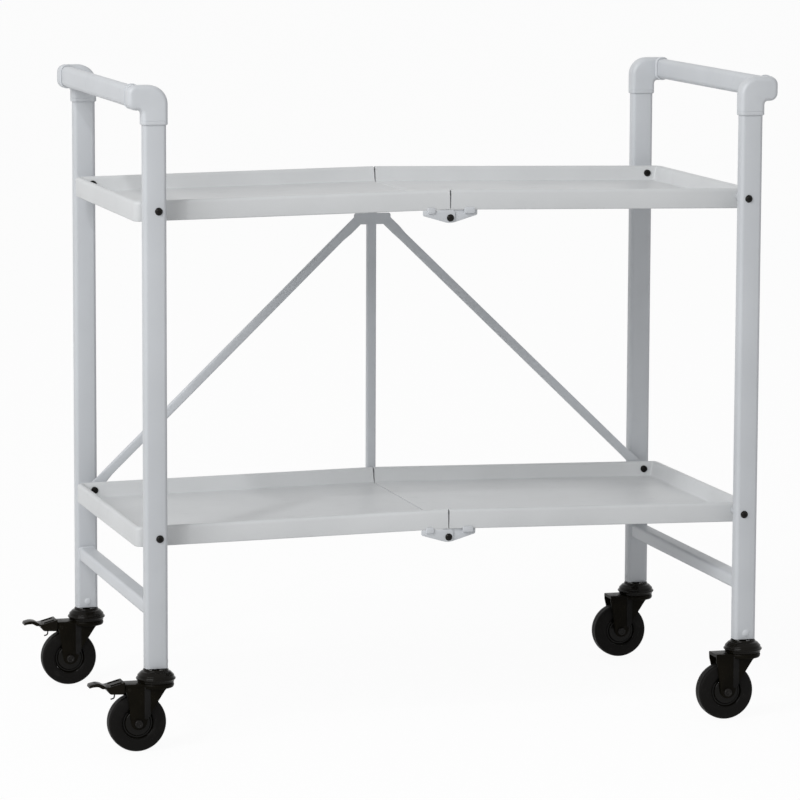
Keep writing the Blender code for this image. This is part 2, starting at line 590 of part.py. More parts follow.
def make_brace(end):
    """A diagonal tube with crimped ends, from the low rear pin up to its rivet at the slider."""
    angle = BRACE_ANGLE if end > 0 else math.pi - BRACE_ANGLE
    carrier = body(f"brace_{ENDS[end]}_pivot", (end * HALF_SPAN, 0, LOWER_PIVOT_HEIGHT), parent=cart)
    eye = TONGUE_WIDTH / 2
    sections = [(-eye * math.cos(a), 2 * eye * math.sin(a), TONGUE_SHEET)
                for a in (math.radians(25), math.radians(50), math.radians(90))]
    sections += [(TONGUE_LENGTH, TONGUE_WIDTH, TONGUE_SHEET),
                 (TONGUE_LENGTH + CRIMP_LENGTH, BRACE_WIDTH, BRACE_DEPTH)]
    sections += [(BRACE_LENGTH - x, width, depth) for x, width, depth in sections[::-1]]
    rings = []
    for x, width, depth in sections:
        corner = BRACE_CORNER if depth > TONGUE_SHEET else TONGUE_CORNER
        ring = rounded(depth, width, corner, 1, (BAR_FACE + depth / 2, 0))
        rings.append([(-x, y, z) for y, z in ring])
    brace = solid(f"brace_{ENDS[end]}", loft(rings), paint, carrier, tilt=angle)
    tongue = BAR_FACE + TONGUE_SHEET
    rivet = domed_head(RIVET_HEAD_RADIUS, RIVET_HEAD_HEIGHT, tongue)
    rivet += [(RIVET_HEAD_RADIUS, tongue - TONGUE_SHEET / 2), (0, tongue - TONGUE_SHEET / 2)]
    combine(brace, turned(rivet, "Y", SMALL_ROUND, (-BRACE_LENGTH, 0)), "UNION")
    hole = prism(circle(SCREW_RADIUS + GAP), BAR_FACE - OVERRUN, tongue + OVERRUN)
    combine(brace, hole, "DIFFERENCE")


def make_stem(tag, frame, foot):
    """The plug in the leg's foot and the stem riveted through the fork."""
    low = FORK_TOP - FORK_SHEET - GAP
    profile = [(0, low - STEM_HEAD_HEIGHT), (STEM_HEAD_RADIUS, low - STEM_HEAD_HEIGHT),
               (STEM_HEAD_RADIUS, low), (STEM_RADIUS, low),
               (STEM_RADIUS, FOOT_HEIGHT + PLUG_HEIGHT / 2), (0, FOOT_HEIGHT + PLUG_HEIGHT / 2)]
    stem = solid(f"caster_stem_{tag}", turned(profile, "Z", SMALL_ROUND), zinc, frame, foot)
    around = 2 * (TUBE_WALL + GAP)
    plug = rounded(LEG_WIDTH - around, LEG_DEPTH - around, LEG_CORNER - TUBE_WALL)
    combine(stem, prism(plug, FOOT_HEIGHT, FOOT_HEIGHT + PLUG_HEIGHT, "Z"), "UNION")


def make_cap(tag, frame, foot):
    """The dished cover over the swivel bearing, fixed under the leg."""
    low = FORK_TOP + GAP
    bore = STEM_RADIUS + GAP
    dish = [(CAP_RADIUS * r, low + CAP_HEIGHT * h) for r, h in CAP_SHARES]
    profile = [(bore, low), (bore, dish[0][1])] + dish
    solid(f"caster_cap_{tag}", turned(profile, "Z", LARGE_ROUND), black_plastic, frame, foot)


def make_fork(tag, carrier, braked):
    """A pressed fork: round top plate, two tapering cheeks that trail to the axle."""
    drop = FORK_TOP - WHEEL_RADIUS
    front = [(TRAIL * x, FORK_TOP - drop * z) for x, z in FORK_FRONT_SHARES]
    rear = [(-FORK_TAIL * x, FORK_TOP - drop * z) for x, z in FORK_REAR_SHARES]
    eye = arc((-TRAIL, WHEEL_RADIUS), AXLE_EYE_RADIUS, 10, -200, 5)
    outline = front + eye + rear
    cheeks = bmesh.new()
    for side in SIDES:
        prism(outline, side * FORK_SPACE / 2, side * FORK_HALF, "Y", cheeks)
    fork = solid(f"fork_{tag}", cheeks, black_plastic, carrier)
    spread = math.degrees(math.asin(FORK_HALF / FORK_PLATE_RADIUS))
    plate = arc((0, 0), FORK_PLATE_RADIUS, -180 + spread, 180 - spread, 9)
    plate += [(-FORK_TAIL, FORK_HALF), (-FORK_TAIL, -FORK_HALF)]
    combine(fork, prism(plate, FORK_TOP - FORK_SHEET, FORK_TOP, "Z"), "UNION")
    holes = prism(circle(AXLE_RADIUS + GAP, centre=(-TRAIL, WHEEL_RADIUS)), -2 * FORK_HALF,
                  2 * FORK_HALF)
    prism(circle(STEM_RADIUS + 2 * GAP), FORK_TOP - FORK_SHEET - OVERRUN, FORK_TOP + OVERRUN, "Z", holes)
    if braked:
        pin = (-BRAKE_PIN_BACK, BRAKE_PIN_HEIGHT)
        prism(circle(BRAKE_PIN_RADIUS + GAP, centre=pin), -2 * FORK_HALF, 2 * FORK_HALF, "Y", holes)
    combine(fork, holes, "DIFFERENCE")


def make_axle(tag, carrier):
    """The axle through the fork, headed on both sides."""
    face = FORK_HALF + GAP
    half = domed_head(AXLE_HEAD_RADIUS, AXLE_HEAD_HEIGHT, face) + [(AXLE_RADIUS, face)]
    profile = half + [(r, -t) for r, t in half[::-1]]
    solid(f"axle_{tag}", turned(profile, "Y", SMALL_ROUND), black_steel, carrier,
          (-TRAIL, 0, WHEEL_RADIUS))


def make_wheel(tag, carrier):
    """Hub and tyre, turned about the axle; the tyre's lowest facet lies on the floor."""
    bore = AXLE_RADIUS + GAP
    inner = HUB_RADIUS - HUB_RIM
    half = [(BOSS_RADIUS, BOSS_WIDTH / 2), (inner, WEB_WIDTH / 2), (inner, HUB_WIDTH / 2),
            (HUB_RADIUS, HUB_WIDTH / 2)]
    profile = [(bore, BOSS_WIDTH / 2)] + half + [(r, -t) for r, t in half[::-1]]
    profile += [(bore, -BOSS_WIDTH / 2)]
    solid(f"hub_{tag}", turned(profile, "Y", LARGE_ROUND), black_plastic, carrier)
    facet = math.pi / TYRE_ROUND
    outside = WHEEL_RADIUS / math.cos(facet)
    seat = HUB_RADIUS / math.cos(math.pi / LARGE_ROUND) + GAP
    half = [(seat, HUB_WIDTH / 2), (seat + TYRE_SHOULDER / 2, WHEEL_WIDTH / 2),
            (outside - TYRE_SHOULDER, WHEEL_WIDTH / 2 - TYRE_CROWN),
            (outside, WHEEL_WIDTH / 2 - TYRE_SHOULDER)]
    profile = half + [(r, -t) for r, t in half[::-1]]
    solid(f"tyre_{tag}", turned(profile, "Y", TYRE_ROUND, start=facet), rubber, carrier)


def make_brake(tag, swivel):
    """The foot lever on its pin between the fork's cheeks, and its wire spring."""
    carrier = body(f"brake_pin_{tag}", (-BRAKE_PIN_BACK, 0, BRAKE_PIN_HEIGHT), parent=swivel)
    outlines = [[(-BRAKE_LENGTH * x, BRAKE_HEIGHT * z) for x, z in shares]
                for shares in (BRAKE_BODY_SHARES, BRAKE_TOE_SHARES)]
    lever = prism(outlines[0], -BRAKE_WIDTH / 2, BRAKE_WIDTH / 2)
    brake = solid(f"brake_lever_{tag}", lever, black_plastic, carrier)
    combine(brake, prism(outlines[1], -BRAKE_TOE_WIDTH / 2, BRAKE_TOE_WIDTH / 2), "UNION")
    neck = arc((0, 0), BRAKE_EYE_RADIUS, -90, 90, 6)
    root = -BRAKE_LENGTH * BRAKE_NECK_SHARE
    neck += [(root, BRAKE_EYE_RADIUS), (root, -BRAKE_EYE_RADIUS)]
    combine(brake, prism(neck, -BRAKE_NECK_WIDTH / 2, BRAKE_NECK_WIDTH / 2), "UNION")
    pin = prism(circle(BRAKE_PIN_RADIUS), -FORK_HALF, FORK_HALF)
    combine(brake, pin, "UNION")
    front, back = (BRAKE_LENGTH * share for share in BRAKE_SLOT_SHARES)
    floor = BRAKE_HEIGHT - BRAKE_SLOT_DEPTH
    slot = ((-front, floor), (-front, BRAKE_HEIGHT + OVERRUN), (-back, BRAKE_HEIGHT + OVERRUN),
            (-back, floor))
    combine(brake, prism(slot, -BRAKE_SLOT_WIDTH / 2, BRAKE_SLOT_WIDTH / 2), "DIFFERENCE")
    curve = bpy.data.curves.new(f"brake_spring_{tag}", "CURVE")
    curve.dimensions = "3D"
    curve.bevel_depth = SPRING_WIRE
    curve.bevel_resolution = 1
    curve.use_fill_caps = True
    wire = curve.splines.new("POLY")
    wire.points.add(len(SPRING_SHARES) - 1)
    for point, (x, z) in zip(wire.points, SPRING_SHARES):
        point.co = (-BRAKE_LENGTH * x, 0, BRAKE_HEIGHT * z, 1)
    curve.materials.append(zinc)
    spring = bpy.data.objects.new(curve.name, curve)
    bpy.context.collection.objects.link(spring)
    spring.parent = carrier


def make_caster(end, side):
    """One caster: stem and cap stay with the leg, fork swivels, wheel turns in the fork."""
    tag = f"{SIDES[side]}_{ENDS[end]}"
    foot = (end * HALF_X, side * HALF_Y, 0)
    make_stem(tag, frames[end], foot)
    make_cap(tag, frames[end], foot)
    swivel = body(f"swivel_{tag}", foot, parent=frames[end])
    make_fork(tag, swivel, braked=end < 0)
    make_axle(tag, swivel)
    wheel = body(f"wheel_{tag}", (-TRAIL, 0, WHEEL_RADIUS), parent=swivel)
    make_wheel(tag, wheel)
    if end < 0:
        make_brake(tag, swivel)


for end in ENDS:
    for side in SIDES:
        make_leg(end, side)
        make_elbow(end, side)
        make_caster(end, side)
        for tier in TIERS:
            make_tray_pin(tier, side, end)
    make_end_bars(end)
    make_brace(end)

for tier, pivot in TIERS.items():
    left = body(f"{tier}_left_pivot", (-HALF_SPAN, 0, pivot), -OPEN_TILT, cart)
    middle_pin = body(f"{tier}_middle_pin", (0, 0, pivot + PIN_RISE), OPEN_TILT, cart)
    make_half_tray(tier, -1, left, (0, 0, 0))
    make_half_tray(tier, 1, middle_pin, (TRAY_RUN, 0, PIN_DROP))
    make_hinge_bolts(tier, left, (TRAY_RUN, 0, -PIN_DROP))

make_centre_bar()
make_slider()
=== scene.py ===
import math

import bmesh
import bpy
from mathutils import Matrix, Vector


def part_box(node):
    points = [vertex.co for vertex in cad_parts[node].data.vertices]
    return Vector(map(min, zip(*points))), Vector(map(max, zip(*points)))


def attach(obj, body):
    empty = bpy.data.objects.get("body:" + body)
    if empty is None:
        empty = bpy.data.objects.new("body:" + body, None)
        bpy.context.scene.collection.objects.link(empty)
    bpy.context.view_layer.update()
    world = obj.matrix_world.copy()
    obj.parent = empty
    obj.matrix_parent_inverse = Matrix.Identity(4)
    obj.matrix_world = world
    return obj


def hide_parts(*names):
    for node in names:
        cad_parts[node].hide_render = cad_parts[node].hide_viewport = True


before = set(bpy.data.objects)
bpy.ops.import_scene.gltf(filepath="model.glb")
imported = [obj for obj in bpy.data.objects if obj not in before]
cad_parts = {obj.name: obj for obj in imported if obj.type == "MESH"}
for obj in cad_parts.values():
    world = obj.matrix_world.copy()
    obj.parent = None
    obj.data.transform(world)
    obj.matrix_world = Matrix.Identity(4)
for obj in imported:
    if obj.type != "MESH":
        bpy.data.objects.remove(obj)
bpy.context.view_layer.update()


# Legs. Four lengths of rectangular steel tube with round corners, sawn square and powder coated
# after drilling. Each is pushed up into an elbow, and a caster's plug is riveted into its foot.
ENDS = {"left": -1, "right": 1}
SIDES = {"front": -1, "rear": 1}
CORNERS = [(side, end) for side in SIDES for end in ENDS]
LEG_CORNER = 0.005
LEG_WALL = 0.0012
FOOT_JOINT = 0.0006
CUT_ROUND = 0.0003
PAINT = (0.600, 0.622, 0.650)
PEEL_DEEP = 0.00006
CLOSE = 1e-5
FLAT = 0.999
SHARP = math.radians(36)


class Value:
    """A socket that can be used in sums."""

    def __init__(self, recipe, socket):
        self.recipe, self.socket = recipe, socket

    def sum(self, operation, other):
        return self.recipe.node("Math", {"operation": operation}, {0: self, 1: other})

    def __add__(self, other):
        return self.sum("ADD", other)

    def __mul__(self, other):
        return self.sum("MULTIPLY", other)

    __radd__ = __add__
    __rmul__ = __mul__

    def between(self, low, high):
        """0 below low, 1 above high, smooth in between."""
        return self.recipe.node("MapRange", {"interpolation_type": "SMOOTHSTEP"},
                                {0: self, 1: low, 2: high})


def shaded(colour, share):
    """A darker or lighter colour."""
    return tuple(c * share for c in colour)


class Recipe:
    """One finish, built up node by node."""

    def __init__(self, name, kind="materials", shader="Principled BSDF"):
        self.owner = getattr(bpy.data, kind).new(name)
        self.owner.use_nodes = True
        self.tree = self.owner.node_tree
        self.shader = self.tree.nodes[shader]
        self.place = None

    def node(self, kind, settings=None, sockets=None, output=0):
        """Any node: its settings first, then its sockets' values or links."""
        node = self.tree.nodes.new("ShaderNode" + kind)
        for name, value in (settings or {}).items():
            setattr(node, name, value)
        for name, value in (sockets or {}).items():
            self.feed(node.inputs[name], value)
        return Value(self, node.outputs[output])

    def feed(self, socket, value):
        """Link a value to a socket, or set a plain number or colour on it."""
        if isinstance(value, Value):
            self.tree.links.new(value.socket, socket)
        else:
            socket.default_value = (*value, 1.0) if socket.type == "RGBA" and len(value) == 3 else value

    def noise(self, scale, detail, roughness=0.5):
        """A cloudy pattern fixed to the piece, from 0 to 1."""
        self.place = self.place or self.node("TexCoord", output="Object")
        return self.node("TexNoise", None, {"Vector": self.place, "Scale": scale, "Detail": detail,
                                            "Roughness": roughness})

    def blend(self, mask, first, second):
        """One colour over another through a mask."""
        return self.node("Mix", {"data_type": "RGBA"}, {0: mask, 6: first, 7: second}, output=2)

    def raised(self, height, distance):
        """Relief of the surface, its height from 0 to 1 and its depth in metres."""
        return self.node("Bump", None, {"Height": height, "Distance": distance, "Strength": 1.0})

    def finish(self, **sockets):
        """Feed the shader and give the finished material."""
        for name, value in sockets.items():
            self.feed(self.shader.inputs[name.replace("_", " ")], value)
        return self.owner


def powder(name, colour, dust=0.0):
    """Semi-gloss powder coat: fine orange peel, faint cloudiness and a little handling dust."""
    coat = Recipe(name)
    cloud = coat.noise(7.0, 3.0)
    grain = coat.noise(1500.0, 1.0)
    peel = coat.noise(520.0, 2.0)
    handling = coat.noise(38.0, 4.0, 0.62).between(0.56, 0.74)
    dusty = shaded(colour, 0.86)
    tone = coat.blend(cloud.between(0.3, 0.7), shaded(colour, 0.965), shaded(colour, 1.035))
    tone = coat.blend(grain.between(0.62, 0.80) * 0.10, tone, dusty)
    tone = coat.blend(handling * (0.10 + dust), tone, dusty)
    relief = coat.raised(peel * 0.7 + grain * 0.3, PEEL_DEEP)
    return coat.finish(Base_Color=tone, Roughness=0.40 + cloud * 0.06 + handling * 0.10, Normal=relief,
                       Specular_IOR_Level=0.45)


powder_coat = powder("powder_coat", PAINT)


def block(size, centre):
    """A plain block, the start of most pieces."""
    bm = bmesh.new()
    bmesh.ops.create_cube(bm, size=1.0, matrix=Matrix.Translation(centre) @ Matrix.Diagonal((*size, 1)))
    return bm


def along(bm, axis, test=None):
    """The edges that run along an axis and pass a test of their middle."""
    found = []
    for edge in bm.edges:
        a, b = (vert.co for vert in edge.verts)
        run = b - a
        if abs(run[axis]) > FLAT * run.length and (test is None or test((a + b) / 2)):
            found.append(edge)
    return found


def rims_of(bm, axis):
    """The edges round the flat faces that look along an axis."""
    return [edge for edge in bm.edges
            if len([f for f in edge.link_faces if abs(f.normal[axis]) > FLAT]) == 1]


def rounded(bm, edges, radius, segments):
    """Round some edges over."""
    bmesh.ops.bevel(bm, geom=edges, offset=radius, segments=segments, profile=0.5, affect="EDGES",
                    clamp_overlap=True, material=-1)
    return bm


def mesh_of(bm, name):
    """A mesh made from a bmesh, which is used up."""
    mesh = bpy.data.meshes.new(name)
    bm.to_mesh(mesh)
    bm.free()
    return mesh


def placed(name, data):
    """A new object in the scene."""
    made = bpy.data.objects.new(name, data)
    bpy.context.scene.collection.objects.link(made)
    return made


def piece(bm, name, body, finish, slot, *nodes, place=None):
    """A finished mesh, in its place, riding on its body and standing for its solids."""
    if place:
        bmesh.ops.transform(bm, matrix=place, verts=bm.verts)
    bmesh.ops.recalc_face_normals(bm, faces=bm.faces)
    mesh = mesh_of(bm, name)
    mesh.materials.append(finish)
    mesh.shade_smooth()
    mesh.set_sharp_from_angle(angle=SHARP)
    made = placed(name, mesh)
    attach(made, body)
    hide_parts(*nodes)


def pipe(node, axis, corner, wall):
    """A rectangular tube that fills a solid's box, open at both ends."""
    low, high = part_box(node)
    bm = block(high - low, (low + high) / 2)
    rounded(bm, along(bm, axis), corner, 6)
    ends = [face for face in bm.faces if abs(face.normal[axis]) > FLAT]
    bmesh.ops.inset_individual(bm, faces=ends, thickness=wall, use_even_offset=True)
    mouths = list({edge for face in ends for edge in face.edges})
    bmesh.ops.delete(bm, geom=ends, context="FACES_ONLY")
    bmesh.ops.bridge_loops(bm, edges=mouths)
    return bm


for side, end in CORNERS:
    leg = f"leg_{side}_{end}"
    tube = pipe(leg, 2, LEG_CORNER, LEG_WALL)
    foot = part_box(leg)[0].z
    bmesh.ops.translate(tube, verts=[v for v in tube.verts if abs(v.co.z - foot) < CLOSE],
                        vec=(0, 0, FOOT_JOINT))
    cut = [edge for edge in rims_of(tube, 2)
           if all(abs(v.co.z - foot - FOOT_JOINT) < CLOSE for v in edge.verts)]
    rounded(tube, cut, CUT_ROUND, 2)
    piece(tube, f"leg_tube_{side}_{end}", f"{end}_frame", powder_coat, "powder_coat", leg)


# Crossbars. A smaller rectangular tube ties the two legs of each frame together low down. Both of
# its ends are butted against the legs and run round with a small weld before the frame is coated.
CROSSBAR_CORNER = 0.004
WELD = 0.0018
WELD_RUN = 1.6 * WELD


def centre_of(node):
    """The middle of a solid's box."""
    low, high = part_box(node)
    return (low + high) / 2


for end in ENDS:
    bar = f"crossbar_{end}"
    piece(pipe(bar, 1, CROSSBAR_CORNER, LEG_WALL), f"crossbar_tube_{end}", f"{end}_frame", powder_coat,
          "powder_coat", bar)
    low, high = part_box(bar)
    middle = centre_of(bar)
    for side, y in (("front", low.y + WELD_RUN / 2), ("rear", high.y - WELD_RUN / 2)):
        bead = block((high.x - low.x + 2 * WELD, WELD_RUN, high.z - low.z + 2 * WELD),
                     (middle.x, y, middle.z))
        rounded(bead, along(bead, 1), CROSSBAR_CORNER + WELD, 6)
        rounded(bead, rims_of(bead, 1), WELD * 0.75, 3)
        piece(bead, f"crossbar_weld_{side}_{end}", f"{end}_frame", powder_coat, "powder_coat")


# Elbows. A moulded plastic corner closes the top of each leg: a socket over the tube with a fine
# line round its mouth, a soft round back, and a short arm with a collar that takes the handle bar.
SOCKET_HALF = 0.0163
SOCKET_DEPTH = 0.026
ARM_END = 0.0340
ELBOW_TOP = 0.0491
ARM_UNDER = 0.0182
BACK_ROUND = 0.0235
NOSE_ROUND = 0.0102
ARM_FILLET = 0.0045
PILLOW = 0.0055
PILLOW_STEPS = 8
MOUTH_ROUND = 0.0014
MOUTH_LINE = 0.0050
LINE_DEEP = 0.00035
PLUG_SPACE = 0.0003
COLLAR_WALL = 0.0014
COLLAR_REACH = 0.006
COLLAR_RING = 0.004
RING_HEIGHT = 0.0009
HANDLE_CORNER = 0.0068
FINE = 1e-6
PLASTIC = (0.610, 0.632, 0.660)


def moulded(name, colour, roughness=0.36, gloss=0.5, texture=0.00008):
    """Moulded plastic: a fine spark-eroded texture, soft sink and faint flow clouds."""
    skin = Recipe(name)
    flow = skin.noise(22.0, 3.0)
    spark = skin.noise(2200.0, 1.0)
    sink = skin.noise(60.0, 1.0)
    tone = skin.blend(flow.between(0.3, 0.7), shaded(colour, 0.97), shaded(colour, 1.03))
    relief = skin.raised(spark * 0.25 + sink, texture)
    return skin.finish(Base_Color=tone, Roughness=roughness + flow * 0.08, Normal=relief,
                       Specular_IOR_Level=gloss)


def carved(bm, other, operation="DIFFERENCE"):
    """Cut one solid mesh out of another, or join the two."""
    parts = [placed("working", mesh_of(shape, "working")) for shape in (bm, other)]
    boolean = parts[0].modifiers.new("Boolean", "BOOLEAN")
    boolean.operation = operation
    boolean.object = parts[1]
    made = bmesh.new()
    made.from_object(parts[0], bpy.context.evaluated_depsgraph_get())
    for part in parts:
        mesh = part.data
        bpy.data.objects.remove(part)
        bpy.data.meshes.remove(mesh)
    return made


def sliced(bm, point, normal, **keeping):
    """Cut a mesh through with a plane."""
    bmesh.ops.bisect_plane(bm, geom=bm.verts[:] + bm.edges[:] + bm.faces[:], dist=FINE,
                           plane_co=point, plane_no=normal, **keeping)


def elbow_outline(inset):
    """The elbow from the front, drawn in by so much, from one edge of its mouth round to the other."""
    corners = [(-SOCKET_HALF + BACK_ROUND, ELBOW_TOP - BACK_ROUND, BACK_ROUND - inset, 180, 90, 12),
               (ARM_END - NOSE_ROUND, ELBOW_TOP - NOSE_ROUND, NOSE_ROUND - inset, 90, 0, 8),
               (ARM_END - NOSE_ROUND, ARM_UNDER + NOSE_ROUND, NOSE_ROUND - inset, 0, -90, 8),
               (SOCKET_HALF + ARM_FILLET, ARM_UNDER - ARM_FILLET, ARM_FILLET + inset, 90, 180, 6)]
    spots = [(-SOCKET_HALF + inset, 0.0)]
    for x, z, radius, first, last, steps in corners:
        for number in range(steps + 1):
            turn = math.radians(first + (last - first) * number / steps)
            spots.append((x + radius * math.cos(turn), z + radius * math.sin(turn)))
    return spots + [(SOCKET_HALF - inset, 0.0)]


elbow_plastic = moulded("elbow_plastic", PLASTIC)

for side, end in CORNERS:
    leg_low, leg_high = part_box(f"leg_{side}_{end}")
    bar_low, bar_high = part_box(f"handle_{end}")
    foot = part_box(f"elbow_{side}_{end}")[0].z
    leg, bar = leg_high - leg_low, bar_high - bar_low
    centre, handle = centre_of(f"leg_{side}_{end}"), centre_of(f"handle_{end}")
    half_depth = leg.y / 2 + SOCKET_HALF - leg.x / 2
    bm = bmesh.new()
    rings = []
    for step in [s for s in range(-PILLOW_STEPS, PILLOW_STEPS + 1) if s]:
        turn = math.radians(90) * (abs(step) - 1) / (PILLOW_STEPS - 1)
        y = math.copysign(half_depth - PILLOW * (1 - math.sin(turn)), step)
        rings.append([bm.verts.new((x, y, z)) for x, z in elbow_outline(PILLOW * (1 - math.cos(turn)))])
    for near, far in zip(rings, rings[1:]):
        for number in range(len(near)):
            bm.faces.new((near[number - 1], near[number], far[number], far[number - 1]))
    bm.faces.new(rings[0])
    bm.faces.new(rings[-1])
    bmesh.ops.recalc_face_normals(bm, faces=bm.faces)
    inward = {MOUTH_ROUND * share: MOUTH_ROUND * (1 - math.sqrt(1 - (1 - share) ** 2))
              for share in (0, 0.12, 0.5, 1)}
    inward |= {MOUTH_LINE - LINE_DEEP: 0, MOUTH_LINE: LINE_DEEP, MOUTH_LINE + LINE_DEEP: 0}
    for height in inward:
        if height:
            sliced(bm, (0, 0, height), (0, 0, 1))
    for height, depth in inward.items():
        ring = [vert for vert in bm.verts if abs(vert.co.z - height) < FINE]
        bmesh.ops.scale(bm, verts=ring, vec=(1 - depth / SOCKET_HALF, 1 - depth / half_depth, 1))
    bore = block((leg.x + 2 * PLUG_SPACE, leg.y + 2 * PLUG_SPACE, 2 * (SOCKET_DEPTH + PLUG_SPACE)), (0, 0, 0))
    rounded(bore, along(bore, 2), LEG_CORNER + PLUG_SPACE, 6)
    bm = carved(bm, bore)
    mouth = half_depth + COLLAR_REACH
    at = Vector((abs(handle.x - centre.x), 0, handle.z - foot))
    for start, stop, grow, soft in ((0.0, mouth - COLLAR_RING / 2, 0.0, 0.0),
                                    (mouth - COLLAR_RING, mouth, RING_HEIGHT, MOUTH_ROUND)):
        wall = COLLAR_WALL + grow
        collar = block((bar.x + 2 * wall, stop - start, bar.z + 2 * wall),
                       at + Vector((0, (start + stop) / 2, 0)))
        rounded(collar, along(collar, 1), HANDLE_CORNER + wall, 8)
        if soft:
            outer = [edge for edge in rims_of(collar, 1) if edge.verts[0].co.y > mouth - CLOSE]
            rounded(collar, outer, soft, 3)
        bm = carved(bm, collar, "UNION")
    depth = (bar_high.y - abs(centre.y)) + PLUG_SPACE
    bore = block((bar.x + 2 * PLUG_SPACE, depth + 2 * mouth, bar.z + 2 * PLUG_SPACE),
                 at + Vector((0, mouth - depth / 2, 0)))
    rounded(bore, along(bore, 1), HANDLE_CORNER + PLUG_SPACE, 8)
    bm = carved(bm, bore)
    place = Matrix.Translation((centre.x, centre.y, foot)) @ Matrix.Diagonal((ENDS[end], -SIDES[side], 1, 1))
    piece(bm, f"elbow_moulding_{side}_{end}", f"{end}_frame", elbow_plastic, "elbow_plastic",
          f"elbow_{side}_{end}", place=place)


# Handle bars. One length of oblong steel tube across each end, powder coated like the legs. Its ends
# are pressed into the collars of two elbows, which hold it.
for end in ENDS:
    bar = f"handle_{end}"
    piece(pipe(bar, 1, HANDLE_CORNER, LEG_WALL), f"handle_bar_{end}", f"{end}_frame", powder_coat,
          "powder_coat", bar)


# Half trays. Each is pressed from one sheet: a flat floor, upright walls that roll over into a
# rounded rim on three sides, a flange under the rim and a lip folded down along the middle slit.
TIERS = ("upper", "lower")
RIM_ABOVE = 0.0098
RIM_BELOW = 0.0157
RIM_WIDTH = 0.0085
RIM_FLANGE = 0.006
RIM_ROLL = 0.0048
RIM_FOLD = 0.0014
WELL_DEPTH = 0.0195
FLOOR_ROUND = 0.0026
TRAY_CORNER = 0.0106
TRAY_SHEET = 0.001
TRAY_FACE = 0.187
MIDDLE_FLANGE = 0.010
MIDDLE_ROUND = 0.0012
SLIT = 0.001
WEB_TALL = 0.016
END_BEYOND_PIN = 0.02275
PIN_DROP = 0.0261
MIDDLE_RISE = 0.0063
WALL_DRAFT = 0.0045
UPRIGHT = 0.5
# The trays' paint is the legs' powder coat made lighter and warmer. This is painted light, standing in for
# light that the trays' walls and floors do not get from the lamps.
TRAY_PAINT_LIGHTENED = (0.662, 0.676, 0.686)

tray_coat_lightened = powder("tray_powder_coat_lightened", TRAY_PAINT_LIGHTENED, dust=0.03)


def tray_place(tier, end):
    """From a half tray's own lengths, pin at zero and middle along +X, to its place in the cart."""
    pin, bolt = centre_of(f"{tier}_pin_front_{end}"), centre_of(f"{tier}_hinge_bolt_front")
    tilt = math.atan2(MIDDLE_RISE, abs(bolt.x - pin.x))
    return (Matrix.Translation((pin.x, 0, pin.z)) @ Matrix.Diagonal((-ENDS[end], 1, 1, 1))
            @ Matrix.Rotation(-tilt, 4, "Y"))


def tray_run(tier, end):
    """From the pins to the middle, along the tray."""
    pin, bolt = centre_of(f"{tier}_pin_front_{end}"), centre_of(f"{tier}_hinge_bolt_front")
    flat = Vector((bolt.x - pin.x, bolt.z - pin.z)).length
    return math.sqrt(flat ** 2 - PIN_DROP ** 2)


def grown(result, kind=bmesh.types.BMVert):
    """The vertices or faces that an extrusion added."""
    return [item for item in result["geom"] if isinstance(item, kind)]


def joined(bm, *others):
    """Add other meshes to one, each left as it is."""
    for other in others:
        spare = mesh_of(other, "spare")
        bm.from_mesh(spare)
        bpy.data.meshes.remove(spare)
    return bm


